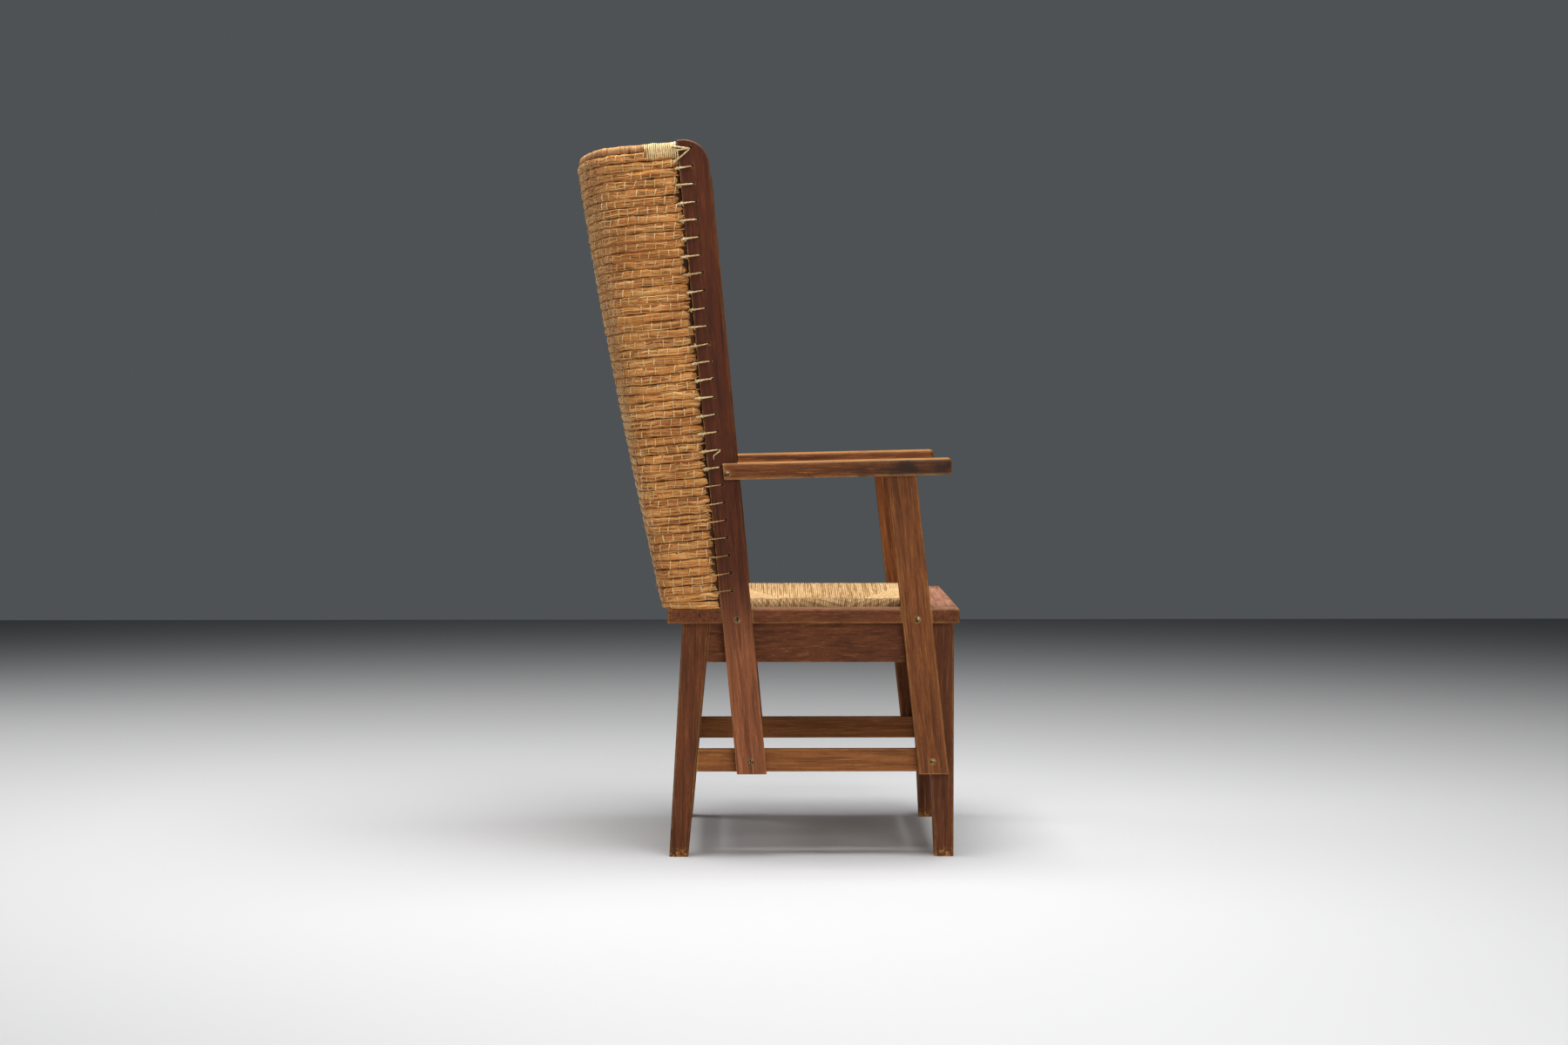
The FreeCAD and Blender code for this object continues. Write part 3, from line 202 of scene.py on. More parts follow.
# %% [markdown]
# ## Floor and wall
# The studio has a pale floor that fades into a grey wall. A bent backdrop could be both, but a flat
# sheet that darkens away from the light is simpler, and the world can stand for the wall. It shows
# grey to the camera and to reflections, and lights the chair evenly with a little white.

# %% Floor and wall
FLOOR_HALF = 4.68
FLOOR_TONE = tone(226, 226, 227)
FLOOR_FAR_TONE = tone(104, 107, 110)
FLOOR_FADE = (2.8, 6.2)
FLOOR_ROUGHNESS = 0.55
POOL_CENTRE = (-0.8, 0.0, 0.0)
WALL_TONE = tone(78, 82, 85)
WHITE = (1, 1, 1, 1)
AMBIENT = 0.04


def studio_floor():
    """A flat square sheet at floor level, darker with the distance from the pool of light."""
    half = FLOOR_HALF
    corners = [(-half, -half, 0), (half, -half, 0), (half, half, 0), (-half, half, 0)]
    mesh = bpy.data.meshes.new("studio_floor")
    mesh.from_pydata(corners, [], [(0, 1, 2, 3)])
    floor = bpy.data.objects.new("studio_floor", mesh)
    bpy.context.collection.objects.link(floor)
    material, tree, shader = new_finish("pale_floor")
    wires = {0: object_spot(tree), 1: POOL_CENTRE}
    away = put(tree, "VectorMath", wires, operation="DISTANCE").outputs["Value"]
    colour = mix(tree, steps(tree, away, *FLOOR_FADE), FLOOR_TONE, FLOOR_FAR_TONE)
    fill(tree, shader, {"Base Color": colour, "Roughness": FLOOR_ROUGHNESS})
    mesh.materials.append(material)


def studio_world():
    """Grey wall for the camera and for reflections, even white light for everything else."""
    world = bpy.data.worlds.new("studio_world")
    world.use_nodes = True
    tree = world.node_tree
    tree.nodes.clear()
    rays = put(tree, "LightPath").outputs
    seen = math_node(tree, "ADD", rays["Is Camera Ray"], rays["Is Glossy Ray"], clamp=True)
    seen = math_node(tree, "ADD", seen, rays["Is Transmission Ray"], clamp=True)
    wall = put(tree, "Background", {"Color": WALL_TONE, "Strength": 1.0}).outputs[0]
    even = put(tree, "Background", {"Color": WHITE, "Strength": AMBIENT}).outputs[0]
    both = put(tree, "MixShader", {0: seen, 1: even, 2: wall}).outputs[0]
    put(tree, "OutputWorld", {"Surface": both})
    bpy.context.scene.world = world


studio_floor()
studio_world()
print("floor", 2 * FLOOR_HALF, "m wide, ambient light", AMBIENT)

# %% [markdown]
# ## Lamps
# A broad lamp overhead makes the soft shadow between the legs, one beside the camera fills the near
# side, and a weaker one far behind draws the edge of the straw. Point lamps would throw hard shadows.
# Area lamps are used, because the size of a lamp is what makes its shadow soft.

# %% Lamps
# For each lamp its place, the point it looks at, its width and height, all in metres, and its watts.
LAMPS = {
    "lamp_overhead": ((-0.3, 0.0, 2.8), (-0.3, 0.0, 0.0), (1.8, 1.8), 104),
    "lamp_beside_camera": ((-3.6, -1.0, 1.5), (0.0, 0.0, 0.5), (1.8, 1.4), 46),
    "lamp_behind": ((0.8, 3.4, 2.0), (0.0, 0.0, 0.7), (2.0, 1.4), 36),
}


def soft_lamp(name, place, aim, size, watts):
    """A rectangular lamp at a place, turned to look at a point."""
    data = bpy.data.lights.new(name, "AREA")
    data.shape = "RECTANGLE"
    data.size, data.size_y = size
    data.energy = watts
    lamp = bpy.data.objects.new(name, data)
    bpy.context.collection.objects.link(lamp)
    lamp.location = place
    lamp.rotation_euler = (lamp.location - Vector(aim)).to_track_quat("Z", "Y").to_euler()


for lamp_name, lamp_values in LAMPS.items():
    soft_lamp(lamp_name, *lamp_values)
print("lamps:", ", ".join(LAMPS))

# %% [markdown]
# ## Surfaces from arrays
# Every new piece is a sheet of points worked out with numpy: rows along a path, columns around a
# section. Modifiers could sweep one such section, but here thousands are wanted. So one function
# turns a whole stack of grids into one closed mesh, with a UV map that follows each tube.

# %% Grid to mesh
def looks_inward(corners, quads):
    """Whether the faces look inwards: the sum of their corners' triple products is then below nought."""
    a, b, c, d = (corners[quads[:, k]] for k in range(4))
    volume = np.einsum("ij,ij->i", a, np.cross(b, c)).sum() + np.einsum("ij,ij->i", a, np.cross(c, d)).sum()
    return volume < 0


def closed_mesh(name, points, spans, material, smooth=True):
    """Many tubes as one mesh. POINTS is (tubes, stations, sides, 3) in mm and SPANS the (tubes, stations)
    length along each; neighbouring points make four-sided faces, and each end is closed by one face.
    The UV map holds metres along the tube and the share of the way round."""
    count, stations, sides, _ = points.shape
    index = np.arange(count * stations * sides).reshape(count, stations, sides)
    here, ahead = index[:, :-1], index[:, 1:]
    quads = np.stack([here, ahead, np.roll(ahead, -1, 2), np.roll(here, -1, 2)], -1).reshape(-1, 4)
    ends = np.concatenate([index[:, 0], index[:, -1, ::-1]])
    around = np.broadcast_to(np.arange(sides + 1) / sides, (count, stations, sides + 1))
    along = np.broadcast_to(spans[:, :, None] * MM, around.shape)
    chart = np.stack([along, around], -1)
    quad_uv = np.stack([chart[:, :-1, :-1], chart[:, 1:, :-1], chart[:, 1:, 1:], chart[:, :-1, 1:]], -2)
    quad_uv = quad_uv.reshape(-1, 4, 2)
    end_uv = np.concatenate([chart[:, 0, :-1], chart[:, -1, -2::-1]])
    corners = points.reshape(-1, 3)
    if looks_inward(corners, quads):
        quads, ends, quad_uv, end_uv = (part[:, ::-1] for part in (quads, ends, quad_uv, end_uv))
    mesh = bpy.data.meshes.new(name)
    mesh.from_pydata(corners * MM, [], quads.tolist() + ends.tolist())
    layer = mesh.uv_layers.new(name="lay")
    layer.data.foreach_set("uv", np.concatenate([quad_uv.ravel(), end_uv.ravel()]))
    mesh.polygons.foreach_set("use_smooth", np.full(len(mesh.polygons), smooth))
    mesh.materials.append(material)
    mesh.update()
    piece = bpy.data.objects.new(name, mesh)
    bpy.context.collection.objects.link(piece)
    return piece


def settle(piece, body, finish_slot, *nodes):
    """Gives a piece its body and hides the frame nodes it stands for. FINISH_SLOT is not used."""
    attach(piece, body)
    if nodes:
        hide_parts(*nodes)
    triangles = len(piece.data.loops) - 2 * len(piece.data.polygons)
    print(f"{piece.name}: {triangles} triangles, rides on {body}")


# %% [markdown]
# ## Tubes along paths
# Stems, stitches, cords and bindings are all a round section carried along a path. A bevelled curve
# does that for one path. Here all the paths of a piece are one array, and the section is set square
# to the path everywhere, with its first point towards a guide direction so that it never spins.

# %% Tubes
def unit(vectors):
    """Vectors of length one."""
    return vectors / np.linalg.norm(vectors, axis=-1, keepdims=True)


def round_tubes(path, radius, sides, guide):
    """A circle of RADIUS carried along each PATH (tubes, stations, 3), its first point towards GUIDE."""
    way = unit(np.gradient(path, axis=1))
    side = unit(guide - np.sum(guide * way, -1, keepdims=True) * way)
    rise = np.cross(way, side)
    turn = np.arange(sides) * 2 * np.pi / sides
    ring = np.cos(turn)[:, None] * side[:, :, None] + np.sin(turn)[:, None] * rise[:, :, None]
    wide = np.broadcast_to(radius, path.shape[:2])
    return path[:, :, None] + wide[:, :, None, None] * ring


def lengths(path):
    """Length along each path from its first point."""
    run = np.linalg.norm(np.diff(path, axis=1), axis=-1)
    return np.concatenate([np.zeros((len(path), 1)), np.cumsum(run, 1)], 1)


def squarer(wave, power):
    """A sine or cosine raised to a power with its sign kept: below one, it makes a circle squarer."""
    return np.sign(wave) * np.abs(wave) ** power


print("a wave of 0.5, made squarer, is", round(float(squarer(0.5, 0.58)), 3))

# %% [markdown]
# ## Hardwood grain
# All the boards are one reddish hardwood with open pores. A picture of wood would have to be wrapped
# round each board and would show its seams. Noise that is pulled long along the board has none, and
# gives the end grain as well. The group takes three tones and gives colour, roughness and height.

# %% Grain group
PORE_SHADE = (0.01, 0.006, 0.004, 1)


def grain_group():
    """Broad figure, fine streaks and short open pores, all from noise stretched along the board."""
    takes = {"Vector": "Vector", "Pale": "Color", "Middle": "Color", "Dark": "Color"}
    gives = {"Color": "Color", "Roughness": "Float", "Height": "Float"}
    tree, inside, outside = new_group("Hardwood grain", takes, gives)
    vector = inside["Vector"]
    figure = noise(tree, vector, scale=1.0, detail=4.0, roughness=0.6, distortion=0.5)
    streaks = noise(tree, vector, scale=2.8, detail=4.0, roughness=0.7)
    pores = steps(tree, noise(tree, vector, scale=16.0, detail=2.0, roughness=0.5), 0.58, 0.72)
    colour = mix(tree, steps(tree, figure, 0.22, 0.62), inside["Dark"], inside["Middle"])
    colour = mix(tree, steps(tree, streaks, 0.5, 0.72, 0.0, 0.85), colour, inside["Pale"])
    colour = mix(tree, steps(tree, streaks, 0.3, 0.46, 0.7, 0.0), colour, inside["Dark"])
    colour = mix(tree, times(tree, pores, 0.55), colour, inside["Dark"])
    colour = mix(tree, times(tree, pores, 0.3), colour, PORE_SHADE)
    rough = steps(tree, streaks, 0.2, 0.8, 0.46, 0.62)
    rough = math_node(tree, "ADD", rough, times(tree, pores, 0.2))
    height = math_node(tree, "SUBTRACT", times(tree, streaks, 0.4), pores)
    give(tree, outside, Color=colour, Roughness=rough, Height=height)
    return tree


GRAIN = grain_group()
print("group", GRAIN.name, "has", len(GRAIN.nodes), "nodes")

# %% [markdown]
# ## Rubbed edges
# Use has rubbed the edges of the boards pale. They could be painted by hand on each board. Here the
# true normal is compared with one that is rounded over a few millimetres: the two differ only near an
# edge, so one group finds the edges of every board by itself.

# %% Wear group
def wear_group():
    """One minus the cosine between the true and the rounded normal, broken up by noise."""
    takes = {"Vector": "Vector", "Reach": "Float", "Amount": "Float"}
    tree, inside, outside = new_group("Rubbed edges", takes, {"Mask": "Float"})
    rounded = put(tree, "Bevel", {"Radius": inside["Reach"]}, samples=6).outputs[0]
    true = put(tree, "NewGeometry").outputs["Normal"]
    cosine = put(tree, "VectorMath", {0: rounded, 1: true}, operation="DOT_PRODUCT").outputs["Value"]
    edge = steps(tree, math_node(tree, "SUBTRACT", 1.0, cosine), 0.003, 0.09)
    patchy = noise(tree, inside["Vector"], scale=38.0, detail=4.0, roughness=0.65)
    mask = times(tree, edge, steps(tree, patchy, 0.3, 0.62, 0.15, 1.0))
    give(tree, outside, Mask=math_node(tree, "MULTIPLY", mask, inside["Amount"], clamp=True))
    return tree


WEAR = wear_group()
print("group", WEAR.name, "has", len(WEAR.nodes), "nodes")

# %% [markdown]
# ## Marks of use
# Hands have darkened the arms' outer sides and polished their front ends, the arms' upward faces are
# paler partly from that polish and partly as painted sheen, and the floor has scuffed the legs. Such
# marks could be painted on each board. Here each is a mask worked out from the place on the chair in metres
# or from the way a face looks, so that left and right are marked alike.

# %% Marks on the arms and feet
ARM_OUTER_SIDE = (0.277, 0.284)
STAIN_STARTS = (0.1, 0.2)
STAIN_ENDS = (0.297, 0.31)
ARM_FRONT_END = (-0.311, -0.298)
FOOT_END = (0.002, 0.018)


def hand_stain(tree, spot):
    """Dark patch where hands hold the arm: on the outer side near the front end, broken up by noise."""
    across, along, _ = split(tree, spot)
    outer = steps(tree, math_node(tree, "ABSOLUTE", across), *ARM_OUTER_SIDE)
    ahead = times(tree, along, -1.0)
    near = times(tree, steps(tree, ahead, *STAIN_STARTS), steps(tree, ahead, *STAIN_ENDS, 1.0, 0.0))
    patchy = steps(tree, noise(tree, spot, scale=24.0, roughness=0.6), 0.3, 0.6, 0.25, 0.9)
    return times(tree, times(tree, near, outer), patchy)


def upward(tree):
    """How far a face looks up: the upright part of its normal."""
    return split(tree, put(tree, "NewGeometry").outputs["Normal"])[2]


def polish_and_sheen(tree, spot):
    """Where arms and hands rub: the last centimetre or so of the front end, and the upward faces, paler
    partly from rubbing and partly as painted sheen.
    """
    top = steps(tree, upward(tree), 0.55, 0.97)
    front = steps(tree, split(tree, spot)[1], *ARM_FRONT_END, 0.9, 0.0)
    patchy = steps(tree, noise(tree, spot, scale=14.0, detail=4.0, roughness=0.65), 0.3, 0.7, 0.22, 0.5)
    return times(tree, math_node(tree, "MAXIMUM", top, front), patchy)


def foot_scuffs(tree, spot):
    """Fine scuffs on the last two centimetres above the floor."""
    low = steps(tree, split(tree, spot)[2], *FOOT_END, 0.7, 0.0)
    scuffs = steps(tree, noise(tree, spot, scale=240.0, detail=4.0, roughness=0.7), 0.46, 0.62)
    return times(tree, low, scuffs)


print("foot scuffs reach up to", FOOT_END[1], "m")

# %% [markdown]
# ## Holes and painted light on the wood
# The uprights are drilled for the lacing, one hole on every second straw row, and the holes and a thin
# ring round them are darkened as painted shade. A dark ring could be placed at each, but they are evenly
# spaced. So the way along the board is folded at the holes, and one distance serves all of them. The
# seat frame's tops get a paler set of tones as painted sheen, and the uprights' lower ends get one as
# painted light thrown up from the floor.

# %% Marks on the uprights and the seat frame
UPRIGHT_RAKE = math.radians(5.32)
MAT_FOOT = np.array([0.0, 72.56, 405.0])
PITCH = 14.25
LACE_INSET = 20.0
HOLE_RIM = (0.0026, 0.0033)
FLOOR_LIGHT_END = (0.3, 0.5)
TOP_SHEEN_BROWN = (tone(228, 178, 148), tone(192, 140, 112), tone(128, 80, 56))
FLOOR_LIGHT_BROWN = (tone(184, 114, 76), tone(148, 88, 54), tone(98, 54, 30))


def hole_shade(tree, spot):
    """Painted shade in and just round the lacing holes: near the axis of a hole, and only above the seat."""
    wires = {"Vector": spot, "Location": tuple(MAT_FOOT * MM), "Rotation": (-UPRIGHT_RAKE, 0, 0)}
    _, back, high = split(tree, put(tree, "Mapping", wires, vector_type="TEXTURE").outputs[0])
    fold = math_node(tree, "PINGPONG", high, PITCH * MM)
    off = math_node(tree, "ADD", back, LACE_INSET * MM)
    across = put(tree, "CombineXYZ", {0: off, 1: fold}).outputs[0]
    away = put(tree, "VectorMath", {0: across}, operation="LENGTH").outputs["Value"]
    above_seat = math_node(tree, "GREATER_THAN", high, PITCH * MM)
    return times(tree, steps(tree, away, *HOLE_RIM, 1.0, 0.0), above_seat)


def painted_light_tones(tree, spot, tones, use):
    """The three grain tones, paler on the seat frame's tops as painted sheen and on the lower end of the
    uprights as painted light from the floor.
    """
    if use == "seat":
        # Painted sheen: the upward faces of the seat frame are paler.
        share = steps(tree, upward(tree), 0.6, 0.97, 0.0, 0.75)
        paler = TOP_SHEEN_BROWN
    elif use == "upright":
        # Painted light from the floor: the upright is paler at its lower end and darker towards the top.
        share = steps(tree, split(tree, spot)[2], *FLOOR_LIGHT_END, 0.95, 0.0)
        paler = FLOOR_LIGHT_BROWN
    else:
        return tones
    return [mix(tree, share, fresh, lit) for fresh, lit in zip(tones, paler)]


print("lacing holes every", 2 * PITCH, "mm")

# %% [markdown]
# ## A finish for each board
# One wood for all would show the same figure on every board. So each board gets its own copy, shifted
# to another part of the log, and only says which way it runs, how it is tilted and how it was used.
# The tones were judged: red brown below, deeper on the uprights, honey where hands rub.

# %% Hardwood finish
GRAIN_SIZE = {
    "x": (0.17, 0.008, 0.008),
    "y": (0.008, 0.17, 0.008),
    "z": (0.008, 0.008, 0.17),
    "y wide": (0.011, 0.075, 0.011),
}
# Pale honey of rubbed wood; on the arms' tops it also stands for painted sheen.
WEAR_AND_SHEEN = tone(214, 158, 90)
HAND_STAIN = tone(40, 25, 18)
HOLE_SHADE = tone(24, 13, 8)
SLOW_SHADE = 0.25
WEAR_REACH = 0.0035
ARM_WEAR_REACH = 0.008
DULL_SPECULAR = 0.16


def hardwood(name, axis, tones, rake, wear, use, shift):
    """Grain along an axis, tilted by a rake, with slow changes of tone, rubbed edges and the marks of use."""
    material, tree, shader = new_finish(name)
    spot = object_spot(tree)
    wires = {"Vector": spot, "Location": shift, "Rotation": (-rake, 0, 0), "Scale": GRAIN_SIZE[axis]}
    turned = put(tree, "Mapping", wires, vector_type="TEXTURE").outputs[0]
    pale, middle, dark = painted_light_tones(tree, spot, tones, use)
    grain = place_group(tree, GRAIN, {"Vector": turned, "Pale": pale, "Middle": middle, "Dark": dark})
    slow = steps(tree, noise(tree, spot, scale=5.0, detail=2.0), 0.3, 0.7)
    colour = mix(tree, times(tree, slow, SLOW_SHADE), grain["Color"], dark)
    if use == "arm":
        colour = mix(tree, hand_stain(tree, spot), colour, HAND_STAIN)
        # Paler arm tops: partly polish from hands, partly painted sheen.
        colour = mix(tree, polish_and_sheen(tree, spot), colour, WEAR_AND_SHEEN)
    if use == "foot":
        colour = mix(tree, foot_scuffs(tree, spot), colour, WEAR_AND_SHEEN)
    reach = ARM_WEAR_REACH if use == "arm" else WEAR_REACH
    edge = place_group(tree, WEAR, {"Vector": spot, "Reach": reach, "Amount": wear})["Mask"]
    colour = mix(tree, edge, colour, WEAR_AND_SHEEN)
    if use == "upright":
        # Painted shade in and just round the lacing holes.
        colour = mix(tree, hole_shade(tree, spot), colour, HOLE_SHADE)
    normal = bump(tree, grain["Height"], strength=0.35, distance=0.0006)
    fill(tree, shader, {"Base Color": colour, "Roughness": grain["Roughness"], "Normal": normal})
    fill(tree, shader, {"Specular IOR Level": DULL_SPECULAR})
    return material


print("grain runs:", ", ".join(GRAIN_SIZE))

# %% [markdown]
# ## The boards
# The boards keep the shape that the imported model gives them, and only their finish is changed. They
# could be dressed one by one, but a table is easier to check: for each board the way its grain runs,
# its three tones, its rake, how much its edges are rubbed, and its use.

# %% Boards
ARM_POST_RAKE = math.radians(6.25)
RED_BROWN = (tone(146, 88, 50), tone(110, 60, 30), tone(66, 32, 13))
DEEP_BROWN = (tone(114, 58, 27), tone(88, 41, 18), tone(56, 24, 8))
WARM_BROWN = (tone(172, 110, 58), tone(132, 76, 36), tone(78, 40, 16))
LIGHT_BROWN = (tone(184, 122, 66), tone(150, 92, 46), tone(96, 53, 23))
ARM_BROWN = (tone(172, 108, 54), tone(122, 68, 31), tone(64, 31, 12))
BOARDS = {
    "front_leg": ("z", RED_BROWN, 0.0, 0.5, "foot"),
    "rear_leg": ("z", RED_BROWN, 0.0, 0.5, "foot"),
    "side_apron": ("y wide", RED_BROWN, 0.0, 0.3, "plain"),
    "side_stretcher": ("y", LIGHT_BROWN, 0.0, 0.4, "plain"),
    "front_apron": ("x", RED_BROWN, 0.0, 0.3, "plain"),
    "rear_apron": ("x", RED_BROWN, 0.0, 0.3, "plain"),
    "front_stretcher": ("x", WARM_BROWN, 0.0, 0.4, "plain"),
    "rear_stretcher": ("x", WARM_BROWN, 0.0, 0.4, "plain"),
    "seat_front_rail": ("x", RED_BROWN, 0.0, 0.6, "seat"),
    "seat_rear_rail": ("x", RED_BROWN, 0.0, 0.4, "seat"),
    "seat_side_rail": ("y wide", RED_BROWN, 0.0, 0.5, "seat"),
    "back_upright": ("z", DEEP_BROWN, UPRIGHT_RAKE, 0.2, "upright"),
    "arm_post": ("z", WARM_BROWN, ARM_POST_RAKE, 0.6, "plain"),
    "armrest": ("y", ARM_BROWN, 0.0, 0.4, "arm"),
    "slip_rail_front": ("x", WARM_BROWN, 0.0, 0.2, "plain"),
    "slip_rail_rear": ("x", WARM_BROWN, 0.0, 0.2, "plain"),
    "slip_rail_left": ("y", WARM_BROWN, 0.0, 0.2, "plain"),
    "slip_rail_right": ("y", WARM_BROWN, 0.0, 0.2, "plain"),
}
LOG_REACH = 3.0

log_place = np.random.default_rng(11)
finished = []
for board, kind in BOARDS.items():
    for node in sorted({board, board + "_left", board + "_right"} & set(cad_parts)):
        shift = tuple(log_place.uniform(-LOG_REACH, LOG_REACH, 3))
        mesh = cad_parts[node].data
        mesh.materials.clear()
        mesh.materials.append(hardwood("wood_" + node, *kind, shift))
        finished.append(node)
print("boards finished:", len(finished))

# %% [markdown]
# ## The shape of the straw mat
# The back is a mat of 52 straw bundles, stitched one on another, that starts at one upright, turns
# round the back of the seat and ends at the other. It could be lofted between curves, but bundles,
# stems and stitches must all follow it. So every point of it is given by three lengths: how far along
# the row, how high up the mat, and how far out from the mat's outer line. The plan of a row is
# straight, round a corner, along a shallow bow, round a corner and straight again.

# %% Mat plan
ROWS = 52
MAT_HIGH = ROWS * PITCH
MAT_THICK = 20.0
MAT_MIDDLE = -MAT_THICK / 2
HALF_WIDTH = 273.0
DEPTH_AT_SEAT = 98
DEPTH_GROWS = 75
DEPTH_SWELLS = 32
CORNER_AT_SEAT = 28
CORNER_GROWS = 20
TURN_AT_SEAT = 88
TURN_SHRINKS = 16


def mat_plan(high):
    """Straight run, corner radius, corner turn and bow radius at a height. Depth and corner grow up the
    mat and the turn shrinks, so that the back opens like a shell."""
    share = high / MAT_HIGH
    depth = DEPTH_AT_SEAT + DEPTH_GROWS * share + DEPTH_SWELLS * share * (1 - share)
    corner = CORNER_AT_SEAT + CORNER_GROWS * share
    turn = np.radians(TURN_AT_SEAT - TURN_SHRINKS * share)
    bow = corner + (HALF_WIDTH - corner) / np.cos(turn)
    straight = depth - bow + (bow - corner) * np.sin(turn)
    return straight, corner, turn, bow


def mat_length(high):
    """Length of a row: two straights, two corner arcs and the bow's arc."""
    straight, corner, turn, bow = mat_plan(high)
    return 2 * straight + 2 * corner * turn + bow * (np.pi - 2 * turn)


print("row lengths from", round(float(mat_length(0.0))), "to", round(float(mat_length(MAT_HIGH))), "mm")

# %% [markdown]
# ## Points on the mat
# The plan gives the lengths of a row's five stretches, and now they are walked through in order. A
# curve object could be sampled instead, one for each row. A formula takes whole arrays at once, and
# any height between the rows as well. The leaning plane of the uprights then carries the result.

# %% Points on the mat
LOWEST = 0.3


def leaned(x, back, high):
    """Points on the leaning back: BACK is square to the uprights and HIGH along them, from the mat's foot."""
    y = back * math.cos(UPRIGHT_RAKE) + high * math.sin(UPRIGHT_RAKE)
    z = high * math.cos(UPRIGHT_RAKE) - back * math.sin(UPRIGHT_RAKE)
    return np.stack(np.broadcast_arrays(x, y, z), -1) + MAT_FOOT


def mat_point(along, high, out):
    """Place on the mat. The heading turns by arc length over radius in each arc, the place is the sum of
    what straights and arcs have covered, and OUT moves it across the heading. The lowest two rows are
    wedges, because the mat leans back and yet stands level on the seat."""
    along, high, out = np.broadcast_arrays(along, high, out)
    straight, corner, turn, bow = mat_plan(np.clip(high, 0, MAT_HIGH))
    first = np.minimum(along, straight)
    left = along - straight
    turn_in = np.clip(left, 0, corner * turn) / corner
    left = left - corner * turn
    sweep = np.clip(left, 0, bow * (np.pi - 2 * turn)) / bow
    left = left - bow * (np.pi - 2 * turn)
    turn_out = np.clip(left, 0, corner * turn) / corner
    last = np.maximum(left - corner * turn, 0)
    heading = turn_in + sweep + turn_out
    leave = np.pi - turn
    x = HALF_WIDTH + corner * (np.cos(turn_in) - 1) + bow * (np.cos(turn + sweep) - np.cos(turn))
    x = x + corner * (np.cos(leave + turn_out) - np.cos(leave)) + out * np.cos(heading)
    back = first + corner * np.sin(turn_in) + bow * (np.sin(turn + sweep) - np.sin(turn))
    back = back + corner * (np.sin(leave + turn_out) - np.sin(leave)) - last + out * np.sin(heading)
    wedge = np.clip(1 - high / (2 * PITCH), 0, 1)
    high = np.maximum(high, LOWEST) + np.maximum(back, 0) * math.tan(UPRIGHT_RAKE) * wedge
    return leaned(x, back, high)


def mat_outward(along, high, out):
    """Direction straight out of the mat."""
    return unit(mat_point(along, high, out + 1.0) - mat_point(along, high, out))


print("outer corner of the rim at", mat_point(0.0, MAT_HIGH, 0.0).round(1), "mm")

# %% [markdown]
# ## Straw streaks
# A bundle is hundreds of flattened stems, so its colour runs in long thin streaks along the row, from
# pale gold to brown, with dark splits between stems. Hair strands could show every stem, at a great
# cost. A group of stretched noise gives the streaks, and later cells lay real stems on top of it.

# %% Straw group
SPLIT_SHADE = tone(62, 34, 15)


def straw_group():
    """Stems as noise pulled along the row: broad bundles, single stems and dark splits between them."""
    takes = {"Vector": "Vector", "Pale": "Color", "Gold": "Color", "Brown": "Color", "Splits": "Float"}
    tree, inside, outside = new_group("Straw stems", takes, {"Color": "Color", "Height": "Float"})
    vector = inside["Vector"]
    bundle = noise(tree, vector, scale=0.35, roughness=0.6, distortion=0.6)
    stems = noise(tree, vector, scale=1.0, roughness=0.65, distortion=0.4)
    gaps = noise(tree, vector, scale=1.7, detail=2.0, roughness=0.5, distortion=0.8)
    colour = mix(tree, steps(tree, bundle, 0.36, 0.58), inside["Brown"], inside["Gold"])
    colour = mix(tree, steps(tree, stems, 0.48, 0.66), colour, inside["Pale"])
    splits = times(tree, steps(tree, gaps, 0.37, 0.43, 1.0, 0.0), inside["Splits"])
    colour = mix(tree, splits, colour, SPLIT_SHADE)
    give(tree, outside, Color=colour, Height=math_node(tree, "SUBTRACT", stems, splits))
    return tree


STRAW = straw_group()
print("group", STRAW.name, "has", len(STRAW.nodes), "nodes")

# %% [markdown]
# ## Straw finishes
# Rows, stitches, bindings, lacing and rush are all dried stems, and differ in tone, in the size of
# the streaks and in how they were twisted. One function makes them all. It reads the piece's own UV
# map, so that streaks follow each bundle or cord, and browns what lies far to the rear.

# %% Straw finish
REAR_SHADE = tone(148, 100, 64)
REAR_FROM_TO = (0.14, 0.3)
GROOVE_SHADE = tone(54, 29, 13)
STRAW_ROUGHNESS = 0.66
STREAK_DRIFT = 3.7


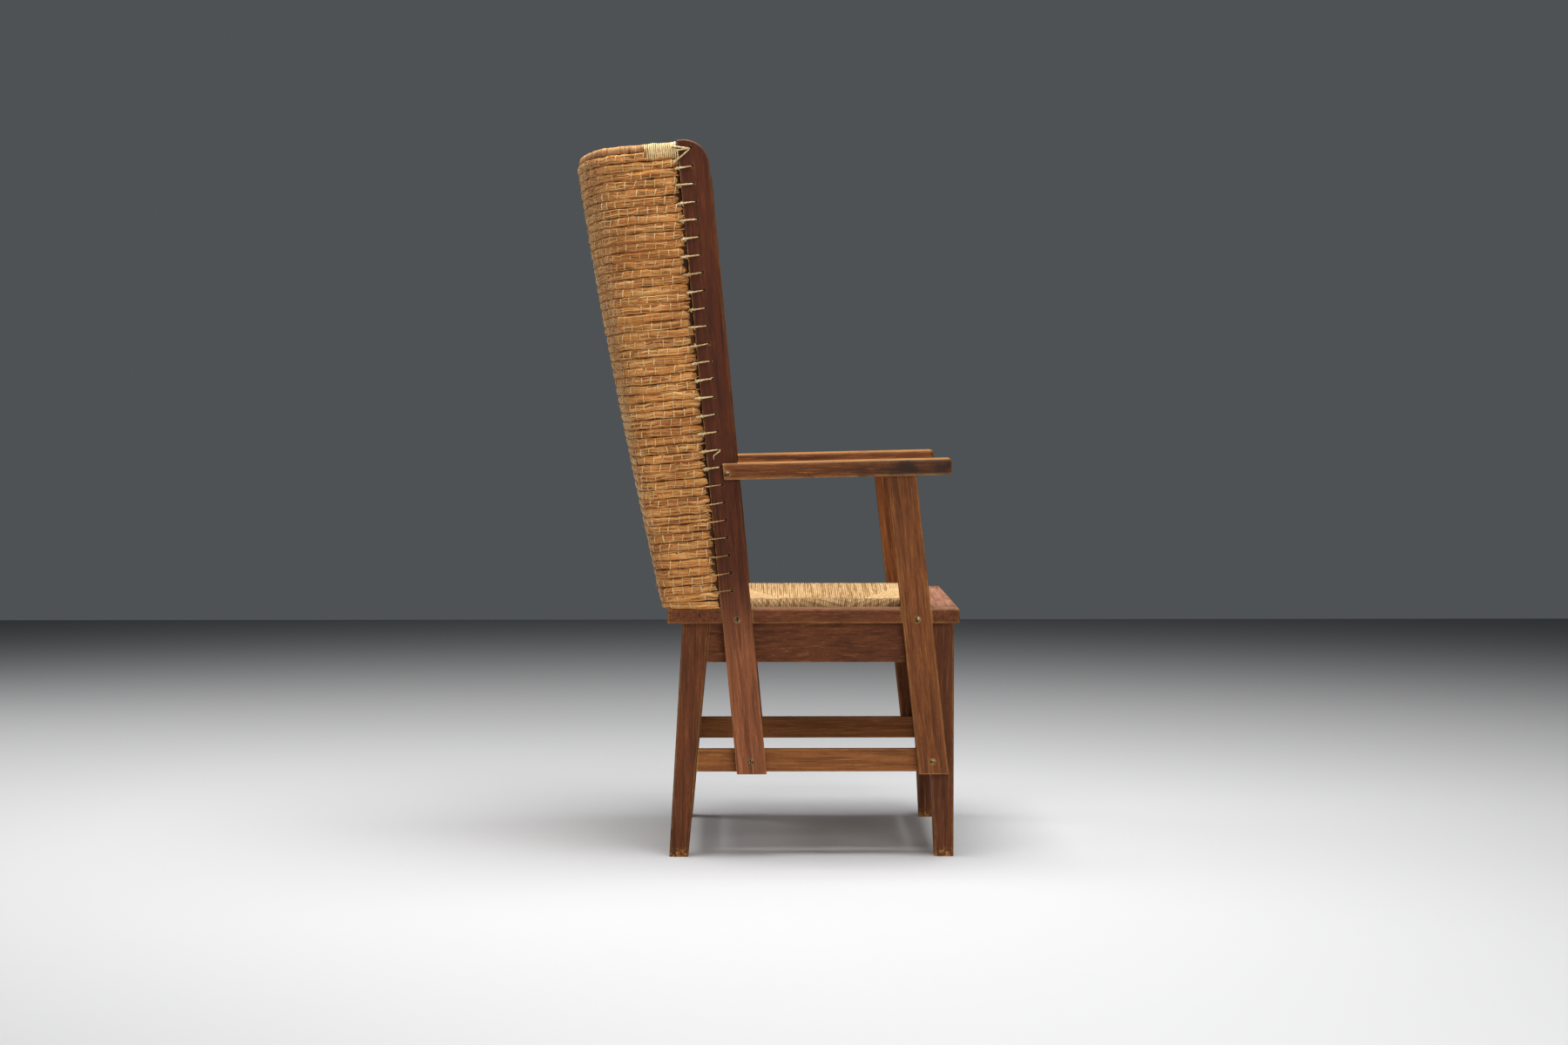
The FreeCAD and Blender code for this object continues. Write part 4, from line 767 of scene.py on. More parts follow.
def straw_finish(name, tones, groove=False, stem_long=0.05, stem_wide=0.045, splits=0.15, twist=0.0):
    """Straw streaks on the piece's own UV map, browner to the rear, with painted shade in the grooves if
    asked for. TWIST is the length in which a laid cord turns once: its strands are a sine of way along plus
    way round, with painted shade in the valleys between them."""
    material, tree, shader = new_finish(name)
    pale, gold, brown = tones
    spot = object_spot(tree)
    along, around, _ = split(tree, put(tree, "UVMap", uv_map="lay").outputs[0])
    _, behind, high = split(tree, spot)
    wires = {0: math_node(tree, "DIVIDE", along, stem_long), 1: math_node(tree, "DIVIDE", around, stem_wide)}
    wires[2] = times(tree, high, STREAK_DRIFT)
    stems = put(tree, "CombineXYZ", wires).outputs[0]
    wires = {"Vector": stems, "Pale": pale, "Gold": gold, "Brown": brown, "Splits": splits}
    streaks = place_group(tree, STRAW, wires)
    height = streaks["Height"]
    slow = noise(tree, spot, scale=9.0)
    colour = mix(tree, steps(tree, slow, 0.4, 0.75, 0.0, 0.5), streaks["Color"], brown)
    colour = mix(tree, steps(tree, behind, *REAR_FROM_TO, 0.0, 0.12), colour, REAR_SHADE)
    if groove:
        # Painted shade: faces turned towards the grooves between the rows are darkened.
        facing = math_node(tree, "COSINE", times(tree, around, 2 * math.pi))
        shade = steps(tree, math_node(tree, "ABSOLUTE", facing), 0.2, 0.7, 0.92, 0.0)
        colour = mix(tree, shade, colour, GROOVE_SHADE)
    if twist:
        turns = math_node(tree, "ADD", math_node(tree, "DIVIDE", along, twist), around)
        wave = math_node(tree, "SINE", times(tree, turns, 2 * math.pi))
        valley = steps(tree, wave, -0.95, 0.1, 1.0, 0.0)
        # Painted shade: the valleys between the twisted strands are darkened towards the brown tone.
        colour = mix(tree, times(tree, valley, 0.4), colour, brown)
        height = math_node(tree, "SUBTRACT", height, valley)
    normal = bump(tree, height, strength=0.9, distance=0.0012)
    fill(tree, shader, {"Base Color": colour, "Roughness": STRAW_ROUGHNESS, "Normal": normal})
    fill(tree, shader, {"Specular IOR Level": DULL_SPECULAR})
    return material


# Very dark straw tones for the mat's heart and the seat's stuffing: painted shade, as both are seen only in
# gaps.
SHADE_STRAW_TONES = (tone(92, 56, 28), tone(70, 42, 20), tone(48, 28, 14))
painted_shade_straw_finish = straw_finish("straw_heart", SHADE_STRAW_TONES)
print("first straw finish:", painted_shade_straw_finish.name)

# %% [markdown]
# ## The heart of the mat
# Between the bundles one looks into the imported middle of the mat, which is only seen as shade in the
# grooves. It could be left out, but light would then leak through. One flat slab that follows the plan closes
# the mat, almost to the uprights. Its very dark straw tones are painted shade.

# %% Straw heart
HEART_STATIONS = 90
HEART_STEPS = 14
HEART_FROM = 2.0
HEART_TO = MAT_HIGH - 3
HEART_INSET = 4.5
HEART_SHORT = 0.6


def straw_heart():
    """A flat slab round the plan: its section goes up one face of the mat's middle and down the other."""
    rising = np.linspace(HEART_FROM, HEART_TO, HEART_STEPS)
    high = np.concatenate([rising, np.linspace(HEART_TO, HEART_FROM, HEART_STEPS)])
    out = np.repeat([-HEART_INSET, HEART_INSET - MAT_THICK], HEART_STEPS)
    share = np.linspace(0, 1, HEART_STATIONS)[:, None]
    along = HEART_SHORT + share * (mat_length(high) - 2 * HEART_SHORT)
    points = mat_point(along, high, out)
    piece = closed_mesh("straw_heart", points[None], along[None, :, 0], painted_shade_straw_finish)
    settle(piece, "frame", "straw", "straw_back")


straw_heart()

# %% [markdown]
# ## The straw rows
# Each bundle is a flat oval carried along its row. Real bundles are never even, so slow waves make
# them thicker and thinner and let them wander a little, and every stitch nips the bundle in. Noise on
# the finished mesh could do that too, but these functions also tell stems and stitches where the
# surface of each bundle is.

# %% Uneven bundles
STITCH_GAP = 15.7
WANDER = 0.8
SWELL = 0.045
NIP = 0.9
WAVES = np.array([117.0, 53.0, 29.0])
shuffle = np.random.default_rng(5)
WAVE_TURNS = shuffle.uniform(0, 2 * np.pi, (2, ROWS, len(WAVES)))
STITCH_START = shuffle.uniform(0, STITCH_GAP, ROWS)
ROW_SHORT = shuffle.uniform(1.5, 8.0, (2, ROWS))


def ripple(row, along, kind):
    """Sum of three slow waves along a row, each row with its own start."""
    turns = WAVE_TURNS[kind, row]
    return np.sin(along[..., None] * 2 * np.pi / WAVES + turns).sum(-1) / 2


def row_high(row):
    """Height of a row's middle as it was laid."""
    return (row + 0.5) * PITCH


def row_middle(row, along):
    """Height of a bundle's middle, wandering by about a millimetre."""
    return row_high(row) + WANDER * ripple(row, along, 0)


def row_half(row, along):
    """Half thickness of a bundle: slow swellings, less a nip at each stitch."""
    beat = (along - STITCH_START[row]) * 2 * np.pi / STITCH_GAP
    nip = np.clip(np.cos(beat), 0, 1) ** 3
    return MAT_THICK / 2 * (1 + SWELL * ripple(row, along, 1)) - NIP * nip


print("rows stop", ROW_SHORT.min().round(1), "to", ROW_SHORT.max().round(1), "mm short of the uprights")

# %% [markdown]
# ## Bundles as ovals
# With those functions a row is a profile carried along a path: a squarish oval, half the mat's
# thickness out and half a pitch up, thinner at its two cut ends and crumpled a little everywhere. The
# rows are made in three pieces, because a single one would have too many triangles.

# %% Straw rows
ROW_STATIONS = 236
ROW_SIDES = 12
ROUNDNESS = 0.58
CRUMPLE = 0.28
ROW_OVERLAP = 0.35
END_THIN = 0.62
END_TAPER = 9.0
ROW_SHIFT = 977.0
ROW_TONES = (tone(248, 197, 126), tone(219, 150, 80), tone(152, 88, 42))
straw_rows_finish = straw_finish("straw_rows", ROW_TONES, groove=True, splits=0.85)


def straw_rows(name, first, last):
    """Bundles FIRST to LAST: an oval section, half thickness out of the mat and half a pitch up it."""
    draw = np.random.default_rng(first)
    row = np.arange(first, last)[:, None]
    start = ROW_SHORT[0, row]
    stop = mat_length(row_high(row)) - ROW_SHORT[1, row]
    along = start + (stop - start) * np.linspace(0, 1, ROW_STATIONS)
    end_gap = np.minimum(along - start, stop - along)
    taper = END_THIN + (1 - END_THIN) * np.clip(end_gap / END_TAPER, 0, 1) ** 0.5
    turn = np.arange(ROW_SIDES) * 2 * np.pi / ROW_SIDES
    thick = row_half(row, along) * taper
    tall = taper * (PITCH / 2 + ROW_OVERLAP)
    out = MAT_MIDDLE + thick[:, :, None] * squarer(np.cos(turn), ROUNDNESS)
    up = row_middle(row, along)[:, :, None] + tall[:, :, None] * squarer(np.sin(turn), ROUNDNESS)
    out = out + draw.normal(0, CRUMPLE, out.shape)
    up = up + draw.normal(0, CRUMPLE, up.shape)
    points = mat_point(along[:, :, None], up, out)
    piece = closed_mesh(name, points, along + row * ROW_SHIFT, straw_rows_finish)
    settle(piece, "frame", "straw", "straw_back")


straw_rows("straw_rows_low", 0, 17)
straw_rows("straw_rows_middle", 17, 35)
straw_rows("straw_rows_high", 35, ROWS)

# %% [markdown]
# ## Stems on the bundles
# Close up, a bundle is not a smooth roll: single stems lie along it, come to the surface for a
# hand's breadth and dive in again. A bump could only hint at that. A few thousand thin tubes show it,
# each placed by its row, its start and its angle round the bundle. They have only four sides, because
# there are so many.

# %% Straw stems
STEM_STATIONS = 9
STEM_LONG = (45, 150)
STEM_RADIUS = (0.6, 1.15)
STEM_SPREAD = 1.05
STEM_SUNK = 0.75
PATTERN_ROOM = 90
METRE = 1000
LOOSE_TONES = (tone(232, 192, 124), ROW_TONES[1], ROW_TONES[2])
loose_straw_finish = straw_finish("straw_loose", LOOSE_TONES, stem_long=0.08, stem_wide=2.0)


def straw_tubes(name, draw, along, high, out, radius, finish, sides=4, tilt=0.0):
    """Thin tubes along lines on the mat, as one piece, each from another spot of the straw pattern. TILT
    turns the guide direction upwards for tubes that stand off the mat."""
    path = mat_point(along, high, out)
    guide = mat_outward(along, high, out) + np.array([0.0, 0.0, tilt])
    shift = draw.uniform(0, PATTERN_ROOM, (len(path), 1)) * METRE
    piece = closed_mesh(name, round_tubes(path, radius, sides, guide), lengths(path) + shift, finish)
    settle(piece, "frame", "straw", "straw_back")


def straw_stems(name, count, facing, seed):
    """Thin four-sided tubes along the rows: the height above the bundle is a sine from end to end, so
    both ends dive into the straw, and a slow turn round the bundle lets stems cross."""
    draw = np.random.default_rng(seed)
    each = (count, 1)
    row = draw.integers(0, ROWS, each)
    long = draw.uniform(*STEM_LONG, each)
    start = draw.uniform(0, 1, each) * (mat_length(row_high(row)) - long)
    share = np.linspace(0, 1, STEM_STATIONS)
    along = start + long * share
    angle = draw.uniform(-STEM_SPREAD, STEM_SPREAD, each) + draw.normal(0, 0.28, each) * (share - 0.5)
    lift = np.sin(np.pi * share) - STEM_SUNK + draw.uniform(-0.1, 0.5, each)
    half = row_half(row, along) + lift
    out = MAT_MIDDLE + facing * half * np.abs(np.cos(angle)) ** ROUNDNESS
    high = row_middle(row, along) + (PITCH / 2 + lift) * squarer(np.sin(angle), ROUNDNESS)
    radius = draw.uniform(*STEM_RADIUS, each)
    straw_tubes(name, draw, along, high, out, radius, loose_straw_finish)


OUTER = 1.0
INNER = -1.0
straw_stems("straw_stems_outer", 2300, OUTER, 21)
straw_stems("straw_stems_inner", 1700, INNER, 22)

# %% [markdown]
# ## Stitching
# A thin straw cord is sewn round every bundle and through the one below it. It shows as short pale
# bars, leaning a little, one each thumb's width. One long thread could be run through the whole mat,
# but most of it would be hidden. So each bar is a small tube bent over the bundle from one groove to
# the next, and here and there one is missing.

# %% Stitches
STITCH_SHARES = np.array([-1.0, -0.62, 0.0, 0.62, 1.0])
MOST_STITCHES = 60
END_MARGIN = 9
MISSING = 0.05
STITCH_LEAN = (1.6, 0.9)
STITCH_STRAYS = 0.8
STITCH_REACH = 0.985
THREAD_STANDS = 0.75
THREAD_RADIUS = (0.75, 1.1)
THREAD_TONES = (tone(246, 222, 176), tone(232, 198, 142), tone(196, 152, 98))
thread_finish = straw_finish("stitch_thread", THREAD_TONES, stem_wide=0.7)


def stitching(name, facing, seed):
    """One short tube per stitch. Its share runs from -1 in the lower groove to 1 in the upper; its height
    follows that share, and its distance out follows the bundle's oval plus the thread's own radius."""
    draw = np.random.default_rng(seed)
    row, number = np.meshgrid(np.arange(ROWS), np.arange(MOST_STITCHES), indexing="ij")
    place = STITCH_START[row] + number * STITCH_GAP
    fits = (place > END_MARGIN) & (place < mat_length(row_high(row)) - END_MARGIN)
    sewn = fits & (draw.uniform(0, 1, row.shape) >= MISSING)
    row = row[sewn][:, None]
    each = row.shape
    lean = draw.normal(*STITCH_LEAN, each)
    along = place[sewn][:, None] + draw.normal(0, STITCH_STRAYS, each) + lean * STITCH_SHARES
    bend = (1 - np.abs(STITCH_REACH * STITCH_SHARES) ** (2 / ROUNDNESS)) ** (ROUNDNESS / 2)
    out = MAT_MIDDLE + facing * (row_half(row, along) * bend + THREAD_STANDS)
    high = row_middle(row, along) + STITCH_SHARES * PITCH / 2
    straw_tubes(name, draw, along, high, out, draw.uniform(*THREAD_RADIUS, each), thread_finish)


stitching("stitches_outer", OUTER, 31)
stitching("stitches_inner", INNER, 32)

# %% [markdown]
# ## Frayed ends
# Where a row stops at the upright, its stems are cut off short and stand apart, and here and there
# along the back a broken stem sticks out. Particles could scatter such stems, but they would be hard
# to keep clear of the wood. These are the same thin tubes as before, with one end free.

# %% Frayed ends
STUBS = 9
STUB_SHARES = np.linspace(0, 1, 5)
STUB_LONG = (14, 30)
STUB_RADIUS = (0.5, 0.95)
STUB_STRAYS = 3.0
STUB_INSET = 0.8
SPLAY = 0.28
SPLAY_VARIES = (0.2, 1.5)
UPRIGHT_GAP = 0.3


def frayed_ends(name, seed):
    """Stub stems at both ends of every row: they start inside the bundle and splay as they leave it."""
    draw = np.random.default_rng(seed)
    row = np.repeat(np.arange(ROWS), 2 * STUBS)[:, None]
    far_end = np.tile(np.repeat([0, 1], STUBS), ROWS)[:, None]
    each = row.shape
    tip = ROW_SHORT[far_end, row] + draw.uniform(-STUB_STRAYS, STUB_STRAYS, each)
    deep = draw.uniform(*STUB_LONG, each)
    near = np.maximum(tip + deep * (1 - STUB_SHARES), UPRIGHT_GAP)
    along = np.where(far_end == 1, mat_length(row_high(row)) - near, near)
    angle = draw.uniform(0, 2 * np.pi, each)
    spread = STUB_INSET + SPLAY * STUB_SHARES ** 2 * draw.uniform(*SPLAY_VARIES, each)
    out = MAT_MIDDLE + MAT_THICK / 2 * spread * np.cos(angle)
    high = row_high(row) + PITCH / 2 * spread * np.sin(angle) + draw.normal(0, 0.8, each)
    straw_tubes(name, draw, along, high, out, draw.uniform(*STUB_RADIUS, each), loose_straw_finish)


frayed_ends("straw_ends", 41)

# %% [markdown]
# ## Stray stems
# A broken stem still lies along its row at one end and bends away from it at the other. It could be a
# straight bristle, but a stem bends more the further it is from what holds it, so it rises by the
# square of its length. Three sides are enough for something so thin.

# %% Stray stems
STRAY_SHARES = np.linspace(0, 1, 6)
STRAY_LONG = (10, 26)
STRAY_RISE = (1.0, 5.5)
STRAY_RADIUS = (0.3, 0.6)
STRAY_MARGIN = 3
STRAY_INSET = 0.92
OUTER_STRAYS = 0.7


def stray_stems(name, count, seed):
    """Broken stems: they follow a row, then rise off it by the square of the share of their length."""
    draw = np.random.default_rng(seed)
    each = (count, 1)
    row = draw.integers(1, ROWS, each)
    full = mat_length(row_high(row))
    start = draw.uniform(0.02, 0.95, each) * full
    long = draw.uniform(*STRAY_LONG, each) * draw.choice([-1, 1], each)
    along = np.clip(start + long * STRAY_SHARES, STRAY_MARGIN, full - STRAY_MARGIN)
    rise = draw.uniform(*STRAY_RISE, each) * STRAY_SHARES ** 2
    facing = np.where(draw.uniform(0, 1, each) < OUTER_STRAYS, OUTER, INNER)
    out = MAT_MIDDLE + facing * (MAT_THICK / 2 * STRAY_INSET + rise)
    high = (row + draw.uniform(0.2, 0.8, each)) * PITCH
    high = high + draw.normal(0, 4.0, each) * STRAY_SHARES ** 2
    radius = draw.uniform(*STRAY_RADIUS, each) * (1 - 0.5 * STRAY_SHARES)
    straw_tubes(name, draw, along, high, out, radius, loose_straw_finish, sides=3, tilt=0.4)


stray_stems("straw_strays", 700, 42)

# %% [markdown]
# ## The roll of the rim
# The top edge is a roll of straw wound with cord. The roll itself is hardly seen and could be left
# out, but light would show between the turns. So it is one plain round section along the rim's line,
# in the tones of the old cord.

# %% Rim roll
RIM_MIDDLE = MAT_HIGH + 6.47
RIM_RADIUS = 5.9
RIM_LONG = float(mat_length(MAT_HIGH))
RIM_STATIONS = 160
RIM_SIDES = 12
ROLL_SHORT = 1.0
ROLL_THINNER = 0.5
OLD_BINDING_TONES = (tone(234, 186, 128), tone(198, 146, 96), tone(136, 93, 58))
old_binding_finish = straw_finish("rim_binding", OLD_BINDING_TONES, stem_long=0.02, stem_wide=0.8)


def rim_core():
    """The roll inside the winding: a round section along the rim's line."""
    along = np.linspace(ROLL_SHORT, RIM_LONG - ROLL_SHORT, RIM_STATIONS)[None]
    path = mat_point(along, RIM_MIDDLE, MAT_MIDDLE)
    points = round_tubes(path, RIM_RADIUS - ROLL_THINNER, RIM_SIDES, mat_outward(along, RIM_MIDDLE, 0.0))
    piece = closed_mesh("rim_core", points, lengths(path), old_binding_finish)
    settle(piece, "frame", "straw_rim", "straw_rim")


rim_core()

# %% [markdown]
# ## The winding of the rim
# The winding is a helix round the roll: one angle runs round and along at the same time. A Screw
# modifier makes a helix on a straight line only, and this one follows the mat. Near each upright a
# newer, paler cord covers the last part, and there it binds the top row in as well.

# %% Rim winding
BIND_RADIUS = 1.15
BIND_PITCH = 2.15
BIND_SIDES = 5
TURN_STATIONS = 16
TURNS_AT_ONCE = 8
NEW_BINDING = 53.0
RIM_END = 1.5
NEW_BINDING_TONES = (tone(246, 230, 186), tone(236, 212, 156), tone(206, 172, 112))
new_binding_finish = straw_finish("rim_new_binding", NEW_BINDING_TONES, stem_long=0.02, stem_wide=0.8)
RIM_SECTION = {"middle": RIM_MIDDLE, "tall": RIM_RADIUS, "wide": RIM_RADIUS, "pinch": 0.0}
BOTH_SECTION = {
    "middle": (RIM_MIDDLE + RIM_RADIUS + MAT_HIGH - PITCH) / 2,
    "tall": (RIM_MIDDLE + RIM_RADIUS - MAT_HIGH + PITCH) / 2,
    "wide": MAT_THICK / 2 + 1.2,
    "pinch": 0.35,
}


def bound_roll(name, first, last, finish, seed, middle, tall, wide, pinch):
    """Winding from FIRST to LAST along the rim: a helix whose centre runs along the mat at height
    MIDDLE, TALL and WIDE its half sizes. PINCH makes the round section squarer, by a power of sine and
    cosine, and narrower towards the top, for a winding over a row and the rim together."""
    draw = np.random.default_rng(seed)
    turns = max(int((last - first) / BIND_PITCH / TURNS_AT_ONCE) * TURNS_AT_ONCE, TURNS_AT_ONCE)
    angle = np.linspace(0, turns * 2 * np.pi, turns * TURN_STATIONS + 1)
    along = first + (last - first) * angle / angle[-1]
    uneven = 1 + 0.05 * np.sin(along / 7.3) + 0.03 * np.sin(along / 2.9 + 1)
    up = squarer(np.sin(angle), 1 - pinch)
    across = squarer(np.cos(angle), 1 - pinch) * (1 - pinch * np.clip(up, 0, 1))
    path = mat_point(along, middle + tall * uneven * up, MAT_MIDDLE + wide * uneven * across)[None]
    axis = mat_point(along, middle, MAT_MIDDLE)[None]
    radius = BIND_RADIUS * (1 + 0.12 * draw.normal(0, 1, angle.shape).clip(-1, 1))
    points = round_tubes(path, radius[None], BIND_SIDES, path - axis)
    piece = closed_mesh(name, points, lengths(path), finish)
    settle(piece, "frame", "straw_rim", "straw_rim")


far_start = RIM_LONG - NEW_BINDING
bound_roll("rim_winding", NEW_BINDING, far_start, old_binding_finish, 51, **RIM_SECTION)
bound_roll("rim_new_winding_left", RIM_END, NEW_BINDING, new_binding_finish, 52, **BOTH_SECTION)
bound_roll("rim_new_winding_right", far_start, RIM_LONG - RIM_END, new_binding_finish, 52, **BOTH_SECTION)

# %% [markdown]
# ## The loose end of a lace
# Short cords tie the mat to the uprights, and one of them was cut and left to curl. It is too short
# to swing, so it needs no simulation: a falling line with a sine in it reads as a stiff end of cord.
# The finish of the lacing shows the twist of its strands.

# %% Loose end
LACE_TONES = (tone(244, 226, 184), tone(230, 204, 152), tone(186, 146, 94))
LACE_STREAKS = {"stem_long": 0.012, "stem_wide": 0.5, "splits": 0.1}
lace_finish = straw_finish("lacing_cord", LACE_TONES, twist=0.007, **LACE_STREAKS)
LOOSE_HOLE = 9
LOOSE_STATIONS = 12
LOOSE_SIDES = 6
LOOSE_START = -20.5
LOOSE_RUN = 9.0
LOOSE_CURL = 3.0
LOOSE_FALL = 15.0
LOOSE_SUNK = 3.0
LOOSE_SWING = 5.6
LOOSE_GUIDE = np.array([0.9, 0.3, 0.2])


def loose_end(name, side, number):
    """The cut end of one cord, curling down from its hole: it falls by a power of its share, swings out by
    a sine that stops a little past its peak, and gets thinner evenly."""
    share = np.linspace(0, 1, LOOSE_STATIONS)[None]
    back = LOOSE_START + LOOSE_RUN * share - LOOSE_CURL * np.sin(2 * np.pi * share)
    high = 2 * PITCH * number - LOOSE_FALL * share ** 1.3
    x = side * (HALF_WIDTH - LOOSE_SUNK + LOOSE_SWING * np.sin(np.pi * np.minimum(share * 1.6, 0.62)))
    path = leaned(x, back, high)
    points = round_tubes(path, 1.3 - 0.5 * share, LOOSE_SIDES, LOOSE_GUIDE)
    piece = closed_mesh(name, points, lengths(path), lace_finish)
    settle(piece, "frame", "lacing_cord")


LEFT = 1.0
RIGHT = -1.0
loose_end("lacing_loose_end", RIGHT, LOOSE_HOLE)

# %% [markdown]
# ## Lacing
# Each lace comes out of the straw, lies on the upright's face and goes into a hole in the wood, and so
# on both faces. It is thick at the straw and thin at the hole, and the topmost hole holds three. Near
# the seat an older cord is left, thinner and browner. Every lace follows the same few stations from
# straw to hole. Bevelled curves could draw them, but as one array they take their taper from one list.

# %% Lacing
UPRIGHT_THICK = 22.0
LACE_SIDES = 7
LACE_SHIFT = 331.0
OLD_LACES = 7
TOP_LACE = ROWS // 2
LACE_BACK = np.array([11.0, 8.0, 4.0, 0.0, -5.0, -10.0, -14.5, -17.2, -18.7, -19.4, -LACE_INSET])
LACE_OUT = np.array([-6.0, -0.5, 1.8, 2.0, 1.7, 1.4, 1.2, 0.8, -1.5, -6.0, -10.9])
LACE_TAPER = np.array([1.5, 1.9, 1.9, 1.6, 1.4, 1.2, 1.1, 1.0, 0.9, 1.6, 2.2])
HOLE_PLUG = np.array([0.0] * 9 + [1.6, 2.2])
EXTRA_STARTS = np.array([-2.0, 6.0, -22.0])
LACE_GUIDE = np.array([0.05, 0.1, 1.0])
OLD_LACE_TONES = (tone(232, 196, 140), tone(206, 162, 106), tone(150, 106, 64))
old_lace_finish = straw_finish("lacing_cord_old", OLD_LACE_TONES, twist=0.006, **LACE_STREAKS)


def lacing(name, side, seed, first, last, girth, finish, node):
    """Cords FIRST to LAST on both faces of one upright: out of the straw, over the edge, along the face
    and down into the hole, with a taper that never gets thinner than the plug that fills the hole."""
    draw = np.random.default_rng(seed)
    holes = 2 * PITCH * np.arange(first, last + 1)
    starts = holes - draw.uniform(0.2, 2.6, len(holes))
    if last == TOP_LACE:
        holes = np.concatenate([holes, [MAT_HIGH, MAT_HIGH]])
        starts = np.concatenate([starts[:-1], MAT_HIGH + EXTRA_STARTS])
    holes, starts = holes[:, None], starts[:, None]
    share = (LACE_BACK[0] - LACE_BACK) / (LACE_BACK[0] - LACE_BACK[-1])
    paths = []
    radii = []
    for facing, face in ((OUTER, HALF_WIDTH), (INNER, HALF_WIDTH - UPRIGHT_THICK)):
        back = LACE_BACK + draw.uniform(-2, 3, holes.shape) * (1 - share)
        slack = draw.normal(0, 0.5, holes.shape) * np.sin(np.pi * share)
        high = starts + (holes - starts) * share + slack
        paths.append(leaned(side * (face + facing * LACE_OUT), back, high))
        radii.append(np.maximum(girth * draw.uniform(0.85, 1.1, holes.shape) * LACE_TAPER, HOLE_PLUG))
    path = np.concatenate(paths)
    points = round_tubes(path, np.concatenate(radii), LACE_SIDES, LACE_GUIDE)
    piece = closed_mesh(name, points, lengths(path) + np.arange(len(path))[:, None] * LACE_SHIFT, finish)
    settle(piece, "frame", "lacing_cord", node)


for hand, side in (("left", LEFT), ("right", RIGHT)):
    upright = "lacing_" + hand
    lacing("lacing_cords_" + hand, side, 61, OLD_LACES + 1, TOP_LACE, 1.0, lace_finish, upright)
    lacing("lacing_old_cords_" + hand, side, 62, 1, OLD_LACES, 0.7, old_lace_finish, upright)

# %% [markdown]
# ## Knots
# Where a newer lace leaves the straw it is tied once round itself. A true knot would take many
# stations and show little of them at this size. A turn and a half of cord round the lace reads as one.

# %% Knots
KNOT_STATIONS = 14
KNOT_TURNS = 1.5
KNOT_MIDDLE = 4.7
KNOT_WIDE = (2.4, 3.6)
KNOT_BACK = (1.5, 5.0)
KNOT_RISE = (0.5, 0.9)
KNOT_RADIUS = 0.95
KNOT_SIDES = 5


def lacing_knots(name, side, seed):
    """A turn and a half of cord about each lacing cord where it leaves the straw: a short helix."""
    draw = np.random.default_rng(seed)
    hole = 2 * PITCH * np.arange(OLD_LACES + 1, TOP_LACE + 1)[:, None]
    angle = np.linspace(0, KNOT_TURNS * 2 * np.pi, KNOT_STATIONS)
    phase = draw.uniform(0, 2 * np.pi, hole.shape)
    wide = draw.uniform(*KNOT_WIDE, hole.shape)
    back = draw.uniform(*KNOT_BACK, hole.shape)
    back = back + draw.uniform(*KNOT_RISE, hole.shape) * (angle - KNOT_MIDDLE)
    high = hole - 1.6 + wide * np.sin(angle + phase)
    x = side * (HALF_WIDTH - 0.6 + 0.75 * wide * np.cos(angle + phase))
    path = leaned(x, back, high)
    points = round_tubes(path, KNOT_RADIUS, KNOT_SIDES, path - path.mean(1, keepdims=True))
    piece = closed_mesh(name, points, lengths(path), lace_finish)
    settle(piece, "frame", "lacing_cord")


lacing_knots("lacing_knots_left", LEFT, 63)
lacing_knots("lacing_knots_right", RIGHT, 63)

# %% [markdown]
# ## The shape of the rush seat
# The drop-in seat is woven in the old envelope pattern. Cord goes over a rail, back up through the
# middle and over the next rail, so the seat shows four fields, each with its cords square to its own
# edge, meeting on diagonal seams. A woven picture on a cushion would be flat, so each cord is one tube
# over the top, round the edge and back beneath. First come its stations, for all cords of a field.

# %% Rush route
RUSH_HALF_X = 222.0
RUSH_HALF_Y = 162.0
RUSH_MIDDLE_Y = -98.44
RUSH_TOP = 417.0
RUSH_LOW = 391.0
RUSH_EDGE = 9.0
RUSH_DISH = 18.0
RUSH_BOWL = 2.2
BOWL_FROM = 0.2
RUSH_TILT = 2.5
CORD_RADIUS = 1.72
TOP_SHARES = np.array([1.0, 0.975, 0.9, 0.7, 0.45, 0.2])
TOP_DIPS = np.array([2.6, 0.9, 0.0, 0.0, 0.0, 0.0])
SIDE_IN = CORD_RADIUS + np.array([0.0, 0.0, 2.2])
SIDE_HIGH = np.array([400.0, RUSH_LOW + 4.5, RUSH_LOW + CORD_RADIUS])
UNDER_SHARES = np.array([0.3, 0.7, 1.0])
UNDER_START = CORD_RADIUS + 2.6
EDGE_STATIONS = 5


def rush_high(share):
    """Top of the seat by the share of the way from edge to middle: level over the slip rails, then a bowl."""
    fall = np.clip((share - BOWL_FROM) / (1 - BOWL_FROM), 0, 1)
    return RUSH_TOP - CORD_RADIUS - RUSH_DISH * (1 - (1 - fall) ** RUSH_BOWL)


def rush_settled(x, high):
    """The old seat has sunk towards its left side: the top by RUSH_TILT there, the underside not at all."""
    upper = np.clip((high - RUSH_LOW) / (RUSH_TOP - RUSH_LOW), 0, 1)
    return high - RUSH_TILT * (x / RUSH_HALF_X + 1) / 2 * upper


def rush_over(reach, full_reach, uneven):
    """Distance in and height of cords on top: shares of their reach, over the bowl, dipping into the seam."""
    inward = np.minimum(np.maximum(TOP_SHARES * reach, CORD_RADIUS), reach)
    return inward, rush_high(inward / full_reach) - TOP_DIPS + uneven


